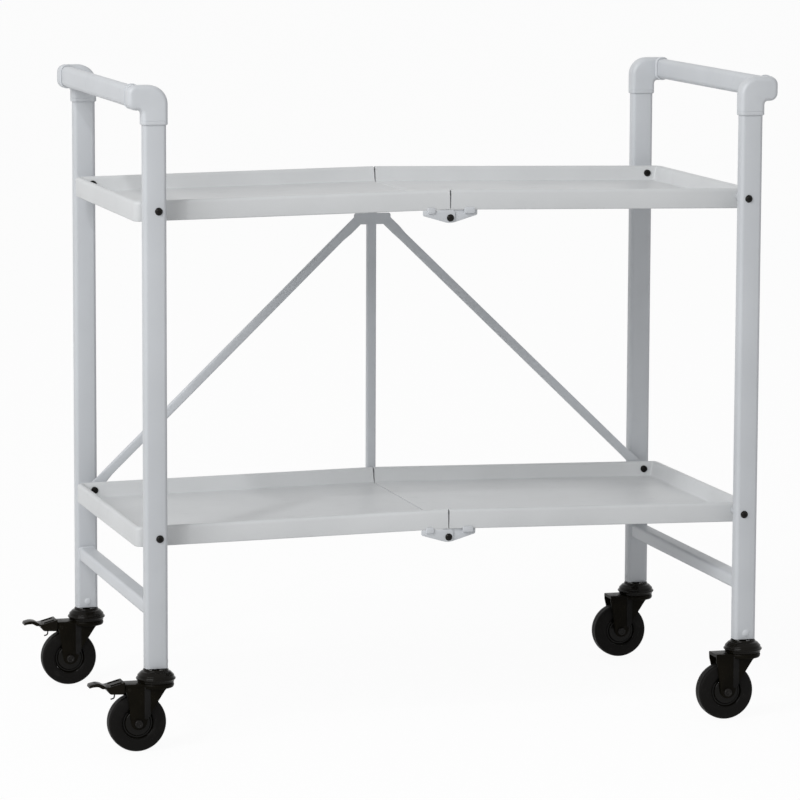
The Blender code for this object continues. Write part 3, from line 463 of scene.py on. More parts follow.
for tier in TIERS:
    for end in ENDS:
        run = tray_run(tier, end)
        length = run + END_BEYOND_PIN
        half = TRAY_FACE - RIM_WIDTH
        bm = block((2 * length, 2 * TRAY_FACE, RIM_ABOVE + RIM_BELOW), (run, 0, (RIM_ABOVE - RIM_BELOW) / 2))
        rounded(bm, along(bm, 2), TRAY_CORNER, 8)
        top = [f for f in bm.faces if f.normal.z > FLAT]
        bmesh.ops.inset_region(bm, faces=top, thickness=RIM_WIDTH, use_even_offset=True)
        floor = grown(bmesh.ops.extrude_face_region(bm, geom=top))
        bmesh.ops.delete(bm, geom=top, context="FACES_ONLY")
        bmesh.ops.translate(bm, verts=floor, vec=(0, 0, -WELL_DEPTH))
        bmesh.ops.scale(bm, verts=floor, space=Matrix.Translation((-run, 0, 0)), vec=(
            1 - WALL_DRAFT / (length - RIM_WIDTH), 1 - WALL_DRAFT / half, 1))
        rim = [f for f in bm.faces if f.normal.z > FLAT and f.calc_center_median().z > RIM_ABOVE - CLOSE]
        rounded(bm, list({edge for f in rim for edge in f.edges if len(edge.link_faces) == 2
                          and any(abs(g.normal.z) < UPRIGHT for g in edge.link_faces)}), RIM_ROLL, 6)
        well = [f for f in bm.faces if f.normal.z > FLAT
                and abs(f.calc_center_median().z - (RIM_ABOVE - WELL_DEPTH)) < CLOSE]
        rounded(bm, list({edge for f in well for edge in f.edges}), FLOOR_ROUND, 4)
        under = [f for f in bm.faces if f.normal.z < -FLAT]
        bmesh.ops.inset_region(bm, faces=under, thickness=RIM_FLANGE, use_even_offset=True)
        bmesh.ops.delete(bm, geom=under, context="FACES")
        fold = [edge for edge in bm.edges if all(abs(v.co.z + RIM_BELOW) < CLOSE for v in edge.verts)
                and any(abs(f.normal.z) < UPRIGHT for f in edge.link_faces)]
        rounded(bm, fold, RIM_FOLD, 3)
        sliced(bm, (run - SLIT / 2, 0, 0), (1, 0, 0), clear_outer=True)
        seam = [edge for edge in bm.edges if edge.is_boundary and all(
            abs(v.co.x - run + SLIT / 2) < CLOSE and abs(v.co.z - RIM_ABOVE + WELL_DEPTH) < CLOSE
            for v in edge.verts)]
        lip = grown(bmesh.ops.extrude_edge_only(bm, edges=seam))
        bmesh.ops.translate(bm, verts=lip, vec=(0, 0, -MIDDLE_FLANGE))
        rounded(bm, seam, MIDDLE_ROUND, 4)
        bmesh.ops.recalc_face_normals(bm, faces=bm.faces)
        flat = max(bm.faces, key=lambda f: f.calc_area())
        if flat.normal.z < 0:
            bmesh.ops.reverse_faces(bm, faces=bm.faces[:])
        bmesh.ops.solidify(bm, geom=bm.faces[:], thickness=TRAY_SHEET)
        webs = [block((TRAY_SHEET, RIM_WIDTH - TRAY_SHEET, WEB_TALL),
                      (run - (SLIT + TRAY_SHEET) / 2, sign * (TRAY_FACE - RIM_WIDTH / 2),
                       WEB_TALL / 2 - RIM_BELOW + RIM_FOLD)) for sign in (-1, 1)]
        joined(bm, *webs)
        # Each half tray wears the lightened paint, which carries painted light.
        piece(bm, f"tray_{tier}_{end}", f"{tier}_{end}_half", tray_coat_lightened, "powder_coat",
              f"{tier}_tray_{end}", place=tray_place(tier, end))


# Hinge leaves. Two small pressed plates are welded under the middle of each half tray, front and
# rear. Each has a lug folded out over the rim's edge, and they meet in layers on the hinge bolts.
LEAF_REACH = 0.036
LEAF_END = 0.0064
LEAF_SHEET = 0.0016
LEAF_LOBE = 0.0063
LEAF_NECK = 0.0042
LEAF_SHOULDER = 0.72
LEAF_TOP = 0.7
LEAF_CORNERS = (0, 0.0016, 0.003, 0.0055, 0, 0)
LEAF_EDGE = 0.0004
HINGE_DROP = 0.0104
LEAF_GAP = 0.0003
LUG_PLACE = 0.025
LUG_WIDTHS = {"left": 0.0105, "right": 0.0140}
LUG_RISE = 0.0035
LUG_DROP = 0.004
LUG_SHEET = 0.0015
LUG_CORNER = 0.0022
LUG_EDGE = 0.0007
LUG_FOOT_SHARE = 0.86
LUG_FOOT_EDGE = 0.0005


def eased(bm, verts, radii, segments):
    """Round the corners of a flat outline, each by its own radius."""
    for vert, radius in zip(verts, radii):
        if radius:
            bmesh.ops.bevel(bm, geom=[vert], offset=radius, segments=segments, profile=0.5,
                            affect="VERTICES", clamp_overlap=True, material=-1)


def plate(outline, corners, low, high):
    """A plate across Y from a few corners, some of them rounded by their own radius."""
    bm = bmesh.new()
    verts = [bm.verts.new((x, low, z)) for x, z in outline]
    bm.faces.new(verts)
    eased(bm, verts, corners, 6)
    moved = grown(bmesh.ops.extrude_face_region(bm, geom=bm.faces[:]))
    bmesh.ops.translate(bm, verts=moved, vec=(0, high - low, 0))
    bmesh.ops.recalc_face_normals(bm, faces=bm.faces)
    return bm


for tier in TIERS:
    for side, end in CORNERS:
        run = tray_run(tier, end)
        sign = SIDES[side]
        near = sign * (TRAY_FACE - (LEAF_GAP if end == "left" else 2 * LEAF_GAP + LEAF_SHEET))
        far = near - sign * LEAF_SHEET
        under = HINGE_DROP - LEAF_GAP
        outline = [(-LEAF_REACH, under), (-LEAF_REACH, under - LEAF_END), (-LEAF_NECK, -LEAF_LOBE),
                   (LEAF_LOBE, -LEAF_LOBE), (LEAF_LOBE, under * LEAF_SHOULDER),
                   (LEAF_LOBE * LEAF_TOP, under)]
        bm = plate([(run + x, z - PIN_DROP) for x, z in outline], LEAF_CORNERS,
                   min(near, far), max(near, far))
        rounded(bm, rims_of(bm, 1), LEAF_EDGE, 2)
        lug = LUG_WIDTHS[end]
        place = run - LUG_PLACE
        out = sign * (TRAY_FACE + LEAF_GAP)
        bend = block((lug, LUG_SHEET, LUG_RISE + LUG_DROP),
                     (place, out + sign * LUG_SHEET / 2, under - PIN_DROP + (LUG_RISE - LUG_DROP) / 2))
        rounded(bend, along(bend, 1), LUG_CORNER, 4)
        rounded(bend, [edge for edge in rims_of(bend, 1)
                       if all(abs(v.co.y) > abs(out) + LUG_SHEET / 2 for v in edge.verts)], LUG_EDGE, 3)
        foot = block((lug * LUG_FOOT_SHARE, abs(out - far) + LUG_SHEET / 2, LUG_SHEET),
                     (place, (out + far) / 2, under - PIN_DROP - LUG_DROP + LUG_SHEET / 2))
        rounded(foot, along(foot, 0), LUG_FOOT_EDGE, 2)
        joined(bm, bend, foot)
        piece(bm, f"hinge_leaf_{tier}_{side}_{end}", f"{tier}_{end}_half", powder_coat, "powder_coat",
              place=tray_place(tier, end))


# Tray pins. A black dome-headed screw goes through the leg and a nylon bush into a barrel nut
# inside the tray's rim, so that each half tray turns between its two legs.
SCREW_HEAD = 0.0049
SCREW_DOME = 0.0028
SCREW_SHANK = 0.0026
SOCKET_WIDE = 0.0021
SOCKET_DEEP = 0.0014
BARREL = 0.0047
BARREL_LONG = 0.004
BUSH = 0.0052
TONGUE_SHEET = 0.0016
MERGE = 1e-7
BLACK_OXIDE = (0.0085, 0.0078, 0.0070)
BUSH_GREY = (0.52, 0.54, 0.56)
AROUND = {0: lambda r, t: (t, r, 0), 1: lambda r, t: (r, t, 0), 2: lambda r, t: (r, 0, t)}


def blackened(name, colour):
    """Blackened steel: oiled and fairly bright, a little browner where it has been handled."""
    steel = Recipe(name)
    patch = steel.noise(420.0, 3.0, 0.6)
    fine = steel.noise(2600.0, 1.0)
    tone = steel.blend(patch.between(0.4, 0.7), colour, shaded(colour, 2.1))
    relief = steel.raised(patch * 0.5 + fine * 0.5, 0.000004)
    return steel.finish(Base_Color=tone, Roughness=0.12 + patch * 0.08, Normal=relief,
                        Specular_IOR_Level=0.11)


def turned(profile, axis, centre, steps=40):
    """Revolve (radius, height, easing) corners about an axis through a point."""
    bm = bmesh.new()
    spot = AROUND[axis]
    verts = [bm.verts.new(spot(radius, height)) for radius, height, _ in profile]
    bm.faces.new(verts)
    eased(bm, verts, [ease for _, _, ease in profile], 4)
    bmesh.ops.delete(bm, geom=bm.faces[:], context="FACES_ONLY")
    core = [edge for edge in bm.edges
            if all(abs(vert.co.dot(Vector(spot(1, 0)))) < MERGE for vert in edge.verts)]
    bmesh.ops.delete(bm, geom=core, context="EDGES_FACES")
    bmesh.ops.spin(bm, geom=bm.verts[:] + bm.edges[:], cent=(0, 0, 0), axis=spot(0, 1),
                   angle=math.tau, steps=steps, use_merge=True)
    bmesh.ops.remove_doubles(bm, verts=bm.verts[:], dist=MERGE)
    bmesh.ops.translate(bm, verts=bm.verts, vec=centre)
    bmesh.ops.recalc_face_normals(bm, faces=bm.faces)
    return bm


def both_ways(profile):
    """A profile carried on past its middle, mirrored."""
    return profile + [(radius, -height, ease) for radius, height, ease in profile[::-1]]


def socket_of(wide, deep, centre):
    """A hexagon socket to cut into a screw's head."""
    bm = bmesh.new()
    bmesh.ops.create_cone(bm, cap_ends=True, segments=6, radius1=wide, radius2=wide, depth=2 * deep,
                          matrix=Matrix.Translation(centre) @ Matrix.Rotation(math.pi / 2, 4, "X"))
    return bm


def domed(radius, height, base, sign):
    """The corners of a domed head, from its tip to the edge it seats on."""
    arch = [math.radians(angle) for angle in (90, 76, 62, 48, 34, 20, 8)]
    return [(radius * math.cos(angle), sign * (base + height * math.sin(angle)), 0) for angle in arch] + [
        (radius, sign * base, 0)]


black_steel = blackened("black_steel", BLACK_OXIDE)
bush_nylon = moulded("bush_nylon", BUSH_GREY)

for tier in TIERS:
    for side, end in CORNERS:
        node = f"{tier}_pin_{side}_{end}"
        sign = SIDES[side]
        middle = centre_of(node)
        leg_low, leg_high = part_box(f"leg_{side}_{end}")
        outer = max(abs(leg_low.y), abs(leg_high.y))
        inner = min(abs(leg_low.y), abs(leg_high.y))
        nut = TRAY_FACE - RIM_WIDTH - LEAF_GAP
        profile = domed(SCREW_HEAD, SCREW_DOME, outer + LEAF_GAP, sign)
        profile += [(SCREW_SHANK, sign * (outer + LEAF_GAP), 0), (SCREW_SHANK, sign * nut, 0),
                    (BARREL, sign * nut, 0.0004), (BARREL, sign * (nut - BARREL_LONG), 0.0008),
                    (0, sign * (nut - BARREL_LONG), 0)]
        screw = turned(profile, 1, (middle.x, 0, middle.z))
        screw = carved(screw, socket_of(SOCKET_WIDE, SOCKET_DEEP, (
            middle.x, sign * (outer + LEAF_GAP + SCREW_DOME), middle.z)))
        screw = carved(screw, socket_of(SOCKET_WIDE * 1.2, SOCKET_DEEP, (
            middle.x, sign * (nut - BARREL_LONG), middle.z)))
        piece(screw, f"tray_screw_{tier}_{side}_{end}", f"{end}_frame", black_steel, "black_steel", node)
        spans = [(inner - LEAF_GAP, TRAY_FACE + LEAF_GAP)]
        if (tier, side) == ("lower", "rear"):
            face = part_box("centre_bar")[0].y
            spans = [(inner - LEAF_GAP, face + TONGUE_SHEET + LEAF_GAP),
                     (face - LEAF_GAP, TRAY_FACE + LEAF_GAP)]
        for number, (far, near) in enumerate(spans):
            bush = turned([(SCREW_SHANK, sign * near, 0), (BUSH, sign * near, 0.0005),
                           (BUSH, sign * far, 0.0005), (SCREW_SHANK, sign * far, 0)], 1,
                          (middle.x, 0, middle.z))
            piece(bush, f"tray_bush_{tier}_{side}_{end}_{number}", f"{end}_frame", bush_nylon,
                  "elbow_plastic")


# Hinge bolts. Short ones hold the two front leaves, long ones at the rear also carry the centre bar.
# Each has a black dome head outside and a nut within the tray.
BOLT_HEAD = 0.0047
BOLT_DOME = 0.0026
BOLT_SHANK = 0.0025
BOLT_NUT = 0.0043
NUT_LONG = 0.003

for tier in TIERS:
    for side in SIDES:
        node = f"{tier}_hinge_bolt_{side}"
        middle = centre_of(node)
        sign = SIDES[side]
        bar_low, bar_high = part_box("centre_bar")
        seat = TRAY_FACE if side == "front" else bar_high.y + LEAF_GAP
        nut = TRAY_FACE - 3 * LEAF_GAP - 2 * LEAF_SHEET
        profile = domed(BOLT_HEAD, BOLT_DOME, seat, sign) + [(BOLT_SHANK, sign * seat, 0)]
        if side == "rear":
            profile += [(BOLT_SHANK, bar_low.y - LEAF_GAP, 0), (BOLT_NUT, bar_low.y - LEAF_GAP, 0.0003),
                        (BOLT_NUT, TRAY_FACE, 0.0003), (BOLT_SHANK, TRAY_FACE, 0)]
        profile += [(BOLT_SHANK, sign * nut, 0), (BOLT_NUT, sign * nut, 0.0003),
                    (BOLT_NUT, sign * (nut - NUT_LONG), 0.0006), (0, sign * (nut - NUT_LONG), 0)]
        bolt = turned(profile, 1, (middle.x, 0, middle.z))
        bolt = carved(bolt, socket_of(SOCKET_WIDE * 0.9, SOCKET_DEEP * 0.8, (
            middle.x, sign * (seat + BOLT_DOME), middle.z)))
        piece(bolt, f"hinge_bolt_{tier}_{side}", f"{tier}_left_half", black_steel, "black_steel", node)


# Centre bar and slider. A small square tube hangs behind the trays between their hinge bolts. A
# pressed sleeve with two wings slides on it, and the braces are riveted to the wings.
BAR_CORNER = 0.0015
BAR_WALL = 0.001
SLIDER_WALL = 0.0013
WING_HIGH = 0.0091
WING_SIDE = 0.0255
WING_TAPER = 0.008
WING_CORNER = 0.003
SLIDER_RAISED = 0.0108

piece(pipe("centre_bar", 2, BAR_CORNER, BAR_WALL), "centre_bar_tube", "middle_bar", powder_coat,
      "powder_coat", "centre_bar")

bar_low, bar_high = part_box("centre_bar")
slider_low, slider_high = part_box("brace_slider")
middle = (bar_low + bar_high) / 2
depth = bar_high.y - bar_low.y + 2 * LEAF_GAP
width = bar_high.x - bar_low.x + 2 * LEAF_GAP
slider_foot = slider_low.z + SLIDER_RAISED
tall = slider_high.z - slider_foot
level = (slider_high.z + slider_foot) / 2
pin_level = slider_high.z - WING_HIGH
sleeve = block((width + 2 * SLIDER_WALL, depth + 2 * SLIDER_WALL, tall), (middle.x, middle.y, level))
rounded(sleeve, along(sleeve, 2), BAR_CORNER + SLIDER_WALL, 5)
front = bar_low.y - LEAF_GAP
outline = [(WING_SIDE, slider_high.z), (WING_SIDE, pin_level),
           (WING_SIDE - WING_TAPER, slider_foot), (-WING_SIDE + WING_TAPER, slider_foot),
           (-WING_SIDE, pin_level), (-WING_SIDE, slider_high.z)]
wings = plate([(middle.x + x, z) for x, z in outline], [WING_CORNER] * 6, front - SLIDER_WALL, front)
sleeve = carved(sleeve, wings, "UNION")
passage = block((width, depth, 2 * tall), (middle.x, middle.y, level))
rounded(passage, along(passage, 2), BAR_CORNER, 4)
sleeve = carved(sleeve, passage)
piece(sleeve, "slider_sleeve", "slider", powder_coat, "powder_coat", "brace_slider")


# Braces. Two diagonal tubes with flattened ends run from the lower rear pins up to the slider.
# Their upper ends are riveted to its wings, their lower ends are drilled for the tray screws.
BRACE_WIDTH = 0.0115
BRACE_DEPTH = 0.008
BRACE_CORNER = 0.0018
TONGUE_WIDTH = 0.0135
TONGUE_LONG = 0.020
CRIMP_LONG = 0.014
RIVET_HEAD = 0.0045
RIVET_DOME = 0.0018
WING_PIN = 0.019
EYE_STEPS = (0, 20, 40, 60, 78)

for end in ENDS:
    foot = centre_of(f"lower_pin_rear_{end}")
    head = Vector((middle.x + ENDS[end] * WING_PIN, 0, pin_level))
    run = Vector((head.x - foot.x, 0, head.z - foot.z))
    length = run.length
    face = bar_low.y
    start = TONGUE_LONG + CRIMP_LONG
    bm = block((length - 2 * start, BRACE_DEPTH, BRACE_WIDTH), (length / 2, face + BRACE_DEPTH / 2, 0))
    rounded(bm, along(bm, 0), BRACE_CORNER, 4)
    for way in (-1, 1):
        tip = next(f for f in bm.faces if f.normal.x * way > FLAT)
        eye = TONGUE_WIDTH / 2
        at = 0.0 if way < 0 else length
        steps = [(at - way * TONGUE_LONG, TONGUE_WIDTH)]
        steps += [(at + way * eye * math.sin(turn), TONGUE_WIDTH * math.cos(turn))
                  for turn in map(math.radians, EYE_STEPS)]
        deep, wide = BRACE_DEPTH, BRACE_WIDTH
        for x, new_wide in steps:
            ahead = bmesh.ops.extrude_face_region(bm, geom=[tip])
            bmesh.ops.delete(bm, geom=[tip], context="FACES_ONLY")
            tip = grown(ahead, bmesh.types.BMFace)[0]
            here = tip.verts[0].co.x
            bmesh.ops.scale(bm, verts=tip.verts, vec=(1, TONGUE_SHEET / deep, new_wide / wide),
                            space=Matrix.Translation((0, -face, 0)))
            bmesh.ops.translate(bm, verts=tip.verts, vec=(x - here, 0, 0))
            deep, wide = TONGUE_SHEET, new_wide
    back = face + TONGUE_SHEET
    rivet = turned([(0, back + RIVET_DOME, 0), (RIVET_HEAD * 0.6, back + RIVET_DOME, 0.0012),
                    (RIVET_HEAD, back, 0), (RIVET_HEAD, back - TONGUE_SHEET / 2, 0),
                    (0, back - TONGUE_SHEET / 2, 0)], 1, (length, 0, 0))
    bm = carved(bm, rivet, "UNION")
    place = Matrix.Translation((foot.x, 0, foot.z)) @ Matrix.Rotation(math.atan2(-run.z, run.x), 4, "Y")
    piece(bm, f"brace_tube_{end}", f"{end}_brace", powder_coat, "powder_coat", f"brace_{end}", place=place)


# Caster mounts. Each caster's stem sits in a black nylon plug inside the leg's foot, held there by a
# painted rivet. A glossy moulded cap in two steps covers the swivel's bearing.
CAP_RADIUS = 0.025
CAP_HEIGHT = 0.0164
CAP_BORE = 0.0053
CAP_FOOT = [(0.92, 0, 0.0004), (0.93, 0.15, 0.0004)]
CAP_TOP = [(0.815, 0.70, 0.0012), (0.76, 0.80, 0.0010), (0.655, 0.85, 0.0006), (0.640, 0.97, 0.0003),
           (0.62, 1, 0), (0.36, 0.96, 0.0003)]
CAP_BEAD = 0.0016
CAP_RINGS = ((0.936, 0.27, -60, 78), (0.860, 0.50, -15, 72))
FLANGE_EDGE = 0.0003
FOOT_RIVET = 0.0047
FOOT_RIVET_DOME = 0.0011
FOOT_RIVET_EASE = 0.0016
FOOT_RIVET_UP = 0.0087
FOOT_RIVET_ASIDE = 0.0006
RIVETED_ACROSS = [("front", "left"), ("rear", "right")]

plug_nylon = moulded("plug_nylon", (0.0042, 0.0038, 0.0032), 0.55, 0.05)
cap_plastic = moulded("cap_plastic", (0.0052, 0.0043, 0.0030), 0.10, 0.10, 0.000006)

for side, end in CORNERS:
    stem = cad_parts[f"caster_stem_{side}_{end}"]
    stem.data.materials.clear()
    stem.data.materials.append(plug_nylon)
    node = f"caster_cap_{side}_{end}"
    middle = centre_of(node)
    r, h = CAP_RADIUS, CAP_HEIGHT
    profile = [(CAP_BORE, 0, 0)] + [(x * r, z * h, ease) for x, z, ease in CAP_FOOT]
    for ring, height, first, last in CAP_RINGS:
        for turn in map(math.radians, range(first, last + 1, 15)):
            profile.append((ring * r + CAP_BEAD * math.cos(turn), height * h + CAP_BEAD * math.sin(turn), 0))
        profile.append((ring * r + CAP_BEAD * 0.15, height * h + CAP_BEAD * 1.25, 0))
    profile += [(x * r, z * h, ease) for x, z, ease in CAP_TOP] + [(CAP_BORE, 0.95 * h, 0)]
    piece(turned(profile, 2, (middle.x, middle.y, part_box(node)[0].z), 72), f"swivel_cap_{side}_{end}",
          f"{end}_frame", cap_plastic, "black_plastic", node)
    leg_low, leg_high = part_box(f"leg_{side}_{end}")
    flange = block((leg_high.x - leg_low.x - LEG_WALL, leg_high.y - leg_low.y - LEG_WALL, 2 * FOOT_JOINT),
                   (middle.x, middle.y, leg_low.z + FOOT_JOINT * 0.9))
    rounded(flange, along(flange, 2), LEG_CORNER, 5)
    rounded(flange, rims_of(flange, 2), FLANGE_EDGE, 2)
    piece(flange, f"plug_flange_{side}_{end}", f"{end}_frame", plug_nylon, "black_plastic")
    inward = -ENDS[end] if (side, end) in RIVETED_ACROSS else -1
    rivet = [(0, FOOT_RIVET_DOME, 0), (FOOT_RIVET * 0.6, FOOT_RIVET_DOME, FOOT_RIVET_EASE),
             (FOOT_RIVET, 0, 0), (FOOT_RIVET, -LEG_WALL / 2, 0), (0, -LEG_WALL / 2, 0)]
    rivet = [(radius, inward * height, ease) for radius, height, ease in rivet]
    level = leg_low.z + FOOT_RIVET_UP
    if (side, end) in RIVETED_ACROSS:
        bm = turned(rivet, 0, (leg_high.x if inward > 0 else leg_low.x, middle.y, level))
    else:
        bm = turned(rivet, 1, (middle.x + FOOT_RIVET_ASIDE, leg_low.y, level))
    piece(bm, f"foot_rivet_{side}_{end}", f"{end}_frame", powder_coat, "powder_coat")


# Forks. Each is pressed from one sheet: a round top with a turned-down edge, two cheeks that taper
# back to the axle, a square channel behind, and an upright rib pressed into each cheek.
TRAIL = 0.025
WHEEL_RADIUS = 0.037
FORK_SHEET = 0.002
FORK_HALF = 0.0147
FORK_PLATE = 0.0232
FORK_SKIRT = 0.0062
FORK_TAIL = 0.041
FORK_BEND = 0.0035
EYE_RADIUS = 0.0085
STEM_HOLE = 0.0056
RIB_WIDTH = 0.0078
RIB_RAISED = 0.0007
RIB_BEHIND = 0.0137
RIB_TOP = 0.003
RIB_FOOT = 0.044
RIB_TOE = 0.0455
RIB_HEEL = 0.040
PLATE_DRAFT = 0.0012
PLATE_EDGE = 0.003
FORK_FRONT = [(0.70, 0.04), (0.66, 0.06), (0.42, 0.13), (0, 0.45), (-0.51, 0.84)]
FORK_REAR = [(0.885, 0.66), (0.94, 0.36), (1.0, 0.17), (1.0, 0.04)]
CHEEK_EDGE = 0.0006


def blacked(name, colour, roughness):
    """Black stove enamel over pressed steel, with faint orange peel and dust in the corners."""
    enamel = Recipe(name)
    cloud = enamel.noise(45.0, 3.0)
    peel = enamel.noise(900.0, 1.0)
    dust = enamel.noise(130.0, 4.0, 0.65).between(0.58, 0.8)
    tone = enamel.blend(cloud.between(0.3, 0.7), colour, shaded(colour, 1.5))
    tone = enamel.blend(dust * 0.30, tone, (0.022, 0.020, 0.016))
    relief = enamel.raised(peel * 0.6 + cloud * 0.4, 0.000015)
    return enamel.finish(Base_Color=tone, Roughness=roughness + dust * 0.25, Normal=relief,
                         Specular_IOR_Level=0.035)


fork_enamel = blacked("fork_enamel", (0.0042, 0.0035, 0.0021), 0.32)
# The rib's enamel is the fork's black made lighter and greyer. This is a painted sheen for the light the
# pressed rib catches, though rib and cheek are one sheet.
rib_enamel_painted_sheen = blacked("rib_enamel_painted_sheen", (0.0105, 0.0102, 0.0100), 0.30)

for side, end in CORNERS:
    node = f"fork_{side}_{end}"
    low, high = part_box(node)
    top = high.z
    middle = centre_of(f"caster_cap_{side}_{end}")
    drop = top - WHEEL_RADIUS
    outline = [(x * TRAIL, top - z * drop) for x, z in FORK_FRONT]
    outline += [(-TRAIL + EYE_RADIUS, low.z), (-TRAIL - EYE_RADIUS, low.z)]
    outline += [(-x * FORK_TAIL, top - z * drop) for x, z in FORK_REAR]
    softness = (0, 0.001, 0.004, 0.008, 0.003, EYE_RADIUS * 0.95, EYE_RADIUS * 0.95, 0.004, 0.004, 0.002, 0)
    sides = []
    for sign in (-1, 1):
        faces = (sign * (FORK_HALF - FORK_SHEET), sign * FORK_HALF)
        cheek = plate(outline, softness, min(faces), max(faces))
        rounded(cheek, [edge for edge in rims_of(cheek, 1)
                        if abs(sum(v.co.y for v in edge.verts)) > 2 * FORK_HALF - FORK_SHEET / 2
                        and min(v.co.z for v in edge.verts) < top - FORK_SHEET - CLOSE], CHEEK_EDGE, 2)
        sides.append(cheek)
    bm = carved(sides[0], sides[1], "UNION")
    roof = block((FORK_TAIL, 2 * FORK_HALF, FORK_SHEET * 2), (-FORK_TAIL / 2, 0, top - FORK_SHEET))
    rounded(roof, along(roof, 0, lambda p: p.z > top - FORK_SHEET), FORK_BEND * 0.55, 4)
    bm = carved(bm, roof, "UNION")
    crown = turned([(STEM_HOLE, top, 0), (FORK_PLATE - PLATE_DRAFT, top, 0.0008),
                    (FORK_PLATE, top - PLATE_EDGE, 0.0012),
                    (FORK_PLATE - PLATE_DRAFT, top - FORK_SKIRT, 0.0012),
                    (FORK_PLATE - FORK_SHEET, top - FORK_SKIRT, 0.0006),
                    (FORK_PLATE - FORK_SHEET, top - 2 * FORK_SHEET, 0), (STEM_HOLE, top - 2 * FORK_SHEET, 0)],
                   2, (0, 0, 0), 64)
    bm = carved(bm, crown, "UNION")
    place = Matrix.Translation((middle.x, middle.y, 0))
    for sign in (-1, 1):
        skin = sorted((sign * (FORK_HALF - FORK_SHEET / 2), sign * (FORK_HALF + RIB_RAISED)))
        left, right = -RIB_BEHIND - RIB_WIDTH / 2, -RIB_BEHIND + RIB_WIDTH / 2
        rib = plate([(left, top - RIB_TOP), (left, top - RIB_FOOT),
                     (left + RIB_WIDTH * 0.35, top - RIB_TOE), (right, top - RIB_HEEL),
                     (right, top - RIB_TOP)], (0, 0.001, 0.001, 0.002, 0), *skin)
        rounded(rib, [edge for edge in rims_of(rib, 1) if abs(edge.verts[0].co.y) > FORK_HALF],
                RIB_RAISED * 0.9, 3)
        # The rib gets the lighter enamel, which is a painted sheen.
        piece(rib, f"fork_rib_{side}_{end}_{sign + 2}", f"{side}_{end}_swivel", rib_enamel_painted_sheen, "black_plastic",
              place=place)
    piece(bm, f"fork_pressing_{side}_{end}", f"{side}_{end}_swivel", fork_enamel, "black_plastic", node,
          place=place)


# Axles. A plain black steel axle goes through both cheeks and the hub. It is headed over on the
# outside of each cheek, with a small dimple left by the punch.
AXLE = 0.003
AXLE_HEAD = 0.0055
AXLE_DOME = 0.003

for side, end in CORNERS:
    node = f"axle_{side}_{end}"
    seat = FORK_HALF + LEAF_GAP
    profile = [(0, seat + AXLE_DOME * 0.72, 0), (AXLE_HEAD * 0.42, seat + AXLE_DOME * 0.72, 0.0003),
               (AXLE_HEAD * 0.52, seat + AXLE_DOME, 0.0004), (AXLE_HEAD * 0.80, seat + AXLE_DOME, 0.0007),
               (AXLE_HEAD, seat + AXLE_DOME * 0.4, 0.0006), (AXLE_HEAD, seat, 0), (AXLE, seat, 0)]
    piece(turned(both_ways(profile), 1, centre_of(node)), f"wheel_axle_{side}_{end}",
          f"{side}_{end}_swivel", black_steel, "black_steel", node)


# Wheels. A moulded hub with a deep ring round its boss carries a solid rubber tyre, moulded with a
# flat tread, soft shoulders and a fine parting line.
HUB_RADIUS = 0.0205
HUB_HALF = 0.01025
BOSS_RADIUS = 0.0068
BOSS_HALF = 0.01175
WEB_HALF = 0.0065
RIM_LAND = 0.0012
TYRE_HALF = 0.011
TYRE_SHOULDER = 0.0045
PARTING_LINE = 0.0002


def tyre_compound(name, colour):
    """Soft black rubber: matt, with rub marks round the tread and grey dust picked up from floors."""
    rubber = Recipe(name)
    speck = rubber.noise(700.0, 3.0, 0.6)
    rub = rubber.noise(60.0, 4.0, 0.6)
    dust = rub.between(0.52, 0.75)
    tone = rubber.blend(dust * 0.45, colour, shaded(colour, 3.2))
    relief = rubber.raised(speck * 0.5 + rub * 0.5, 0.0001)
    return rubber.finish(Base_Color=tone, Roughness=0.46 + dust * 0.16, Normal=relief,
                         Specular_IOR_Level=0.06)


tyre_rubber = tyre_compound("tyre_rubber", (0.0062, 0.0058, 0.0054))
hub_plastic = moulded("hub_plastic", (0.0036, 0.0031, 0.0022), 0.10, 0.12, 0.000006)

for side, end in CORNERS:
    middle = centre_of(f"hub_{side}_{end}")
    inner = HUB_RADIUS - RIM_LAND
    profile = [(AXLE + LEAF_GAP, BOSS_HALF, 0.0003), (BOSS_RADIUS, BOSS_HALF, 0.0005),
               (BOSS_RADIUS + 0.0003, BOSS_HALF - 0.002, 0.0006),
               (inner - 0.0034, BOSS_HALF - 0.0026, 0.0012), (inner - 0.0026, WEB_HALF, 0.0004),
               (inner - 0.0006, WEB_HALF, 0.0004), (inner + 0.0002, HUB_HALF - 0.0006, 0.0008),
               (HUB_RADIUS, HUB_HALF, 0.0003)]
    piece(turned(both_ways(profile), 1, middle, 72), f"wheel_hub_{side}_{end}", f"{side}_{end}_wheel",
          hub_plastic, "black_plastic", f"hub_{side}_{end}")
    seat = HUB_RADIUS + LEAF_GAP
    profile = [(seat, HUB_HALF, 0), (seat + 0.0009, HUB_HALF + 0.0004, 0.0003),
               (seat + 0.0020, TYRE_HALF, 0.0005), (seat + 0.0058, TYRE_HALF, 0.002),
               (WHEEL_RADIUS - TYRE_SHOULDER * 0.35, TYRE_HALF - 0.0018, 0.0012),
               (WHEEL_RADIUS - PARTING_LINE, TYRE_HALF - TYRE_SHOULDER, 0.0012),
               (WHEEL_RADIUS - PARTING_LINE, 0.00045, 0), (WHEEL_RADIUS, 0.0002, 0)]
    piece(turned(both_ways(profile), 1, middle, 96), f"wheel_tyre_{side}_{end}", f"{side}_{end}_wheel",
          tyre_rubber, "tyre_rubber", f"tyre_{side}_{end}")


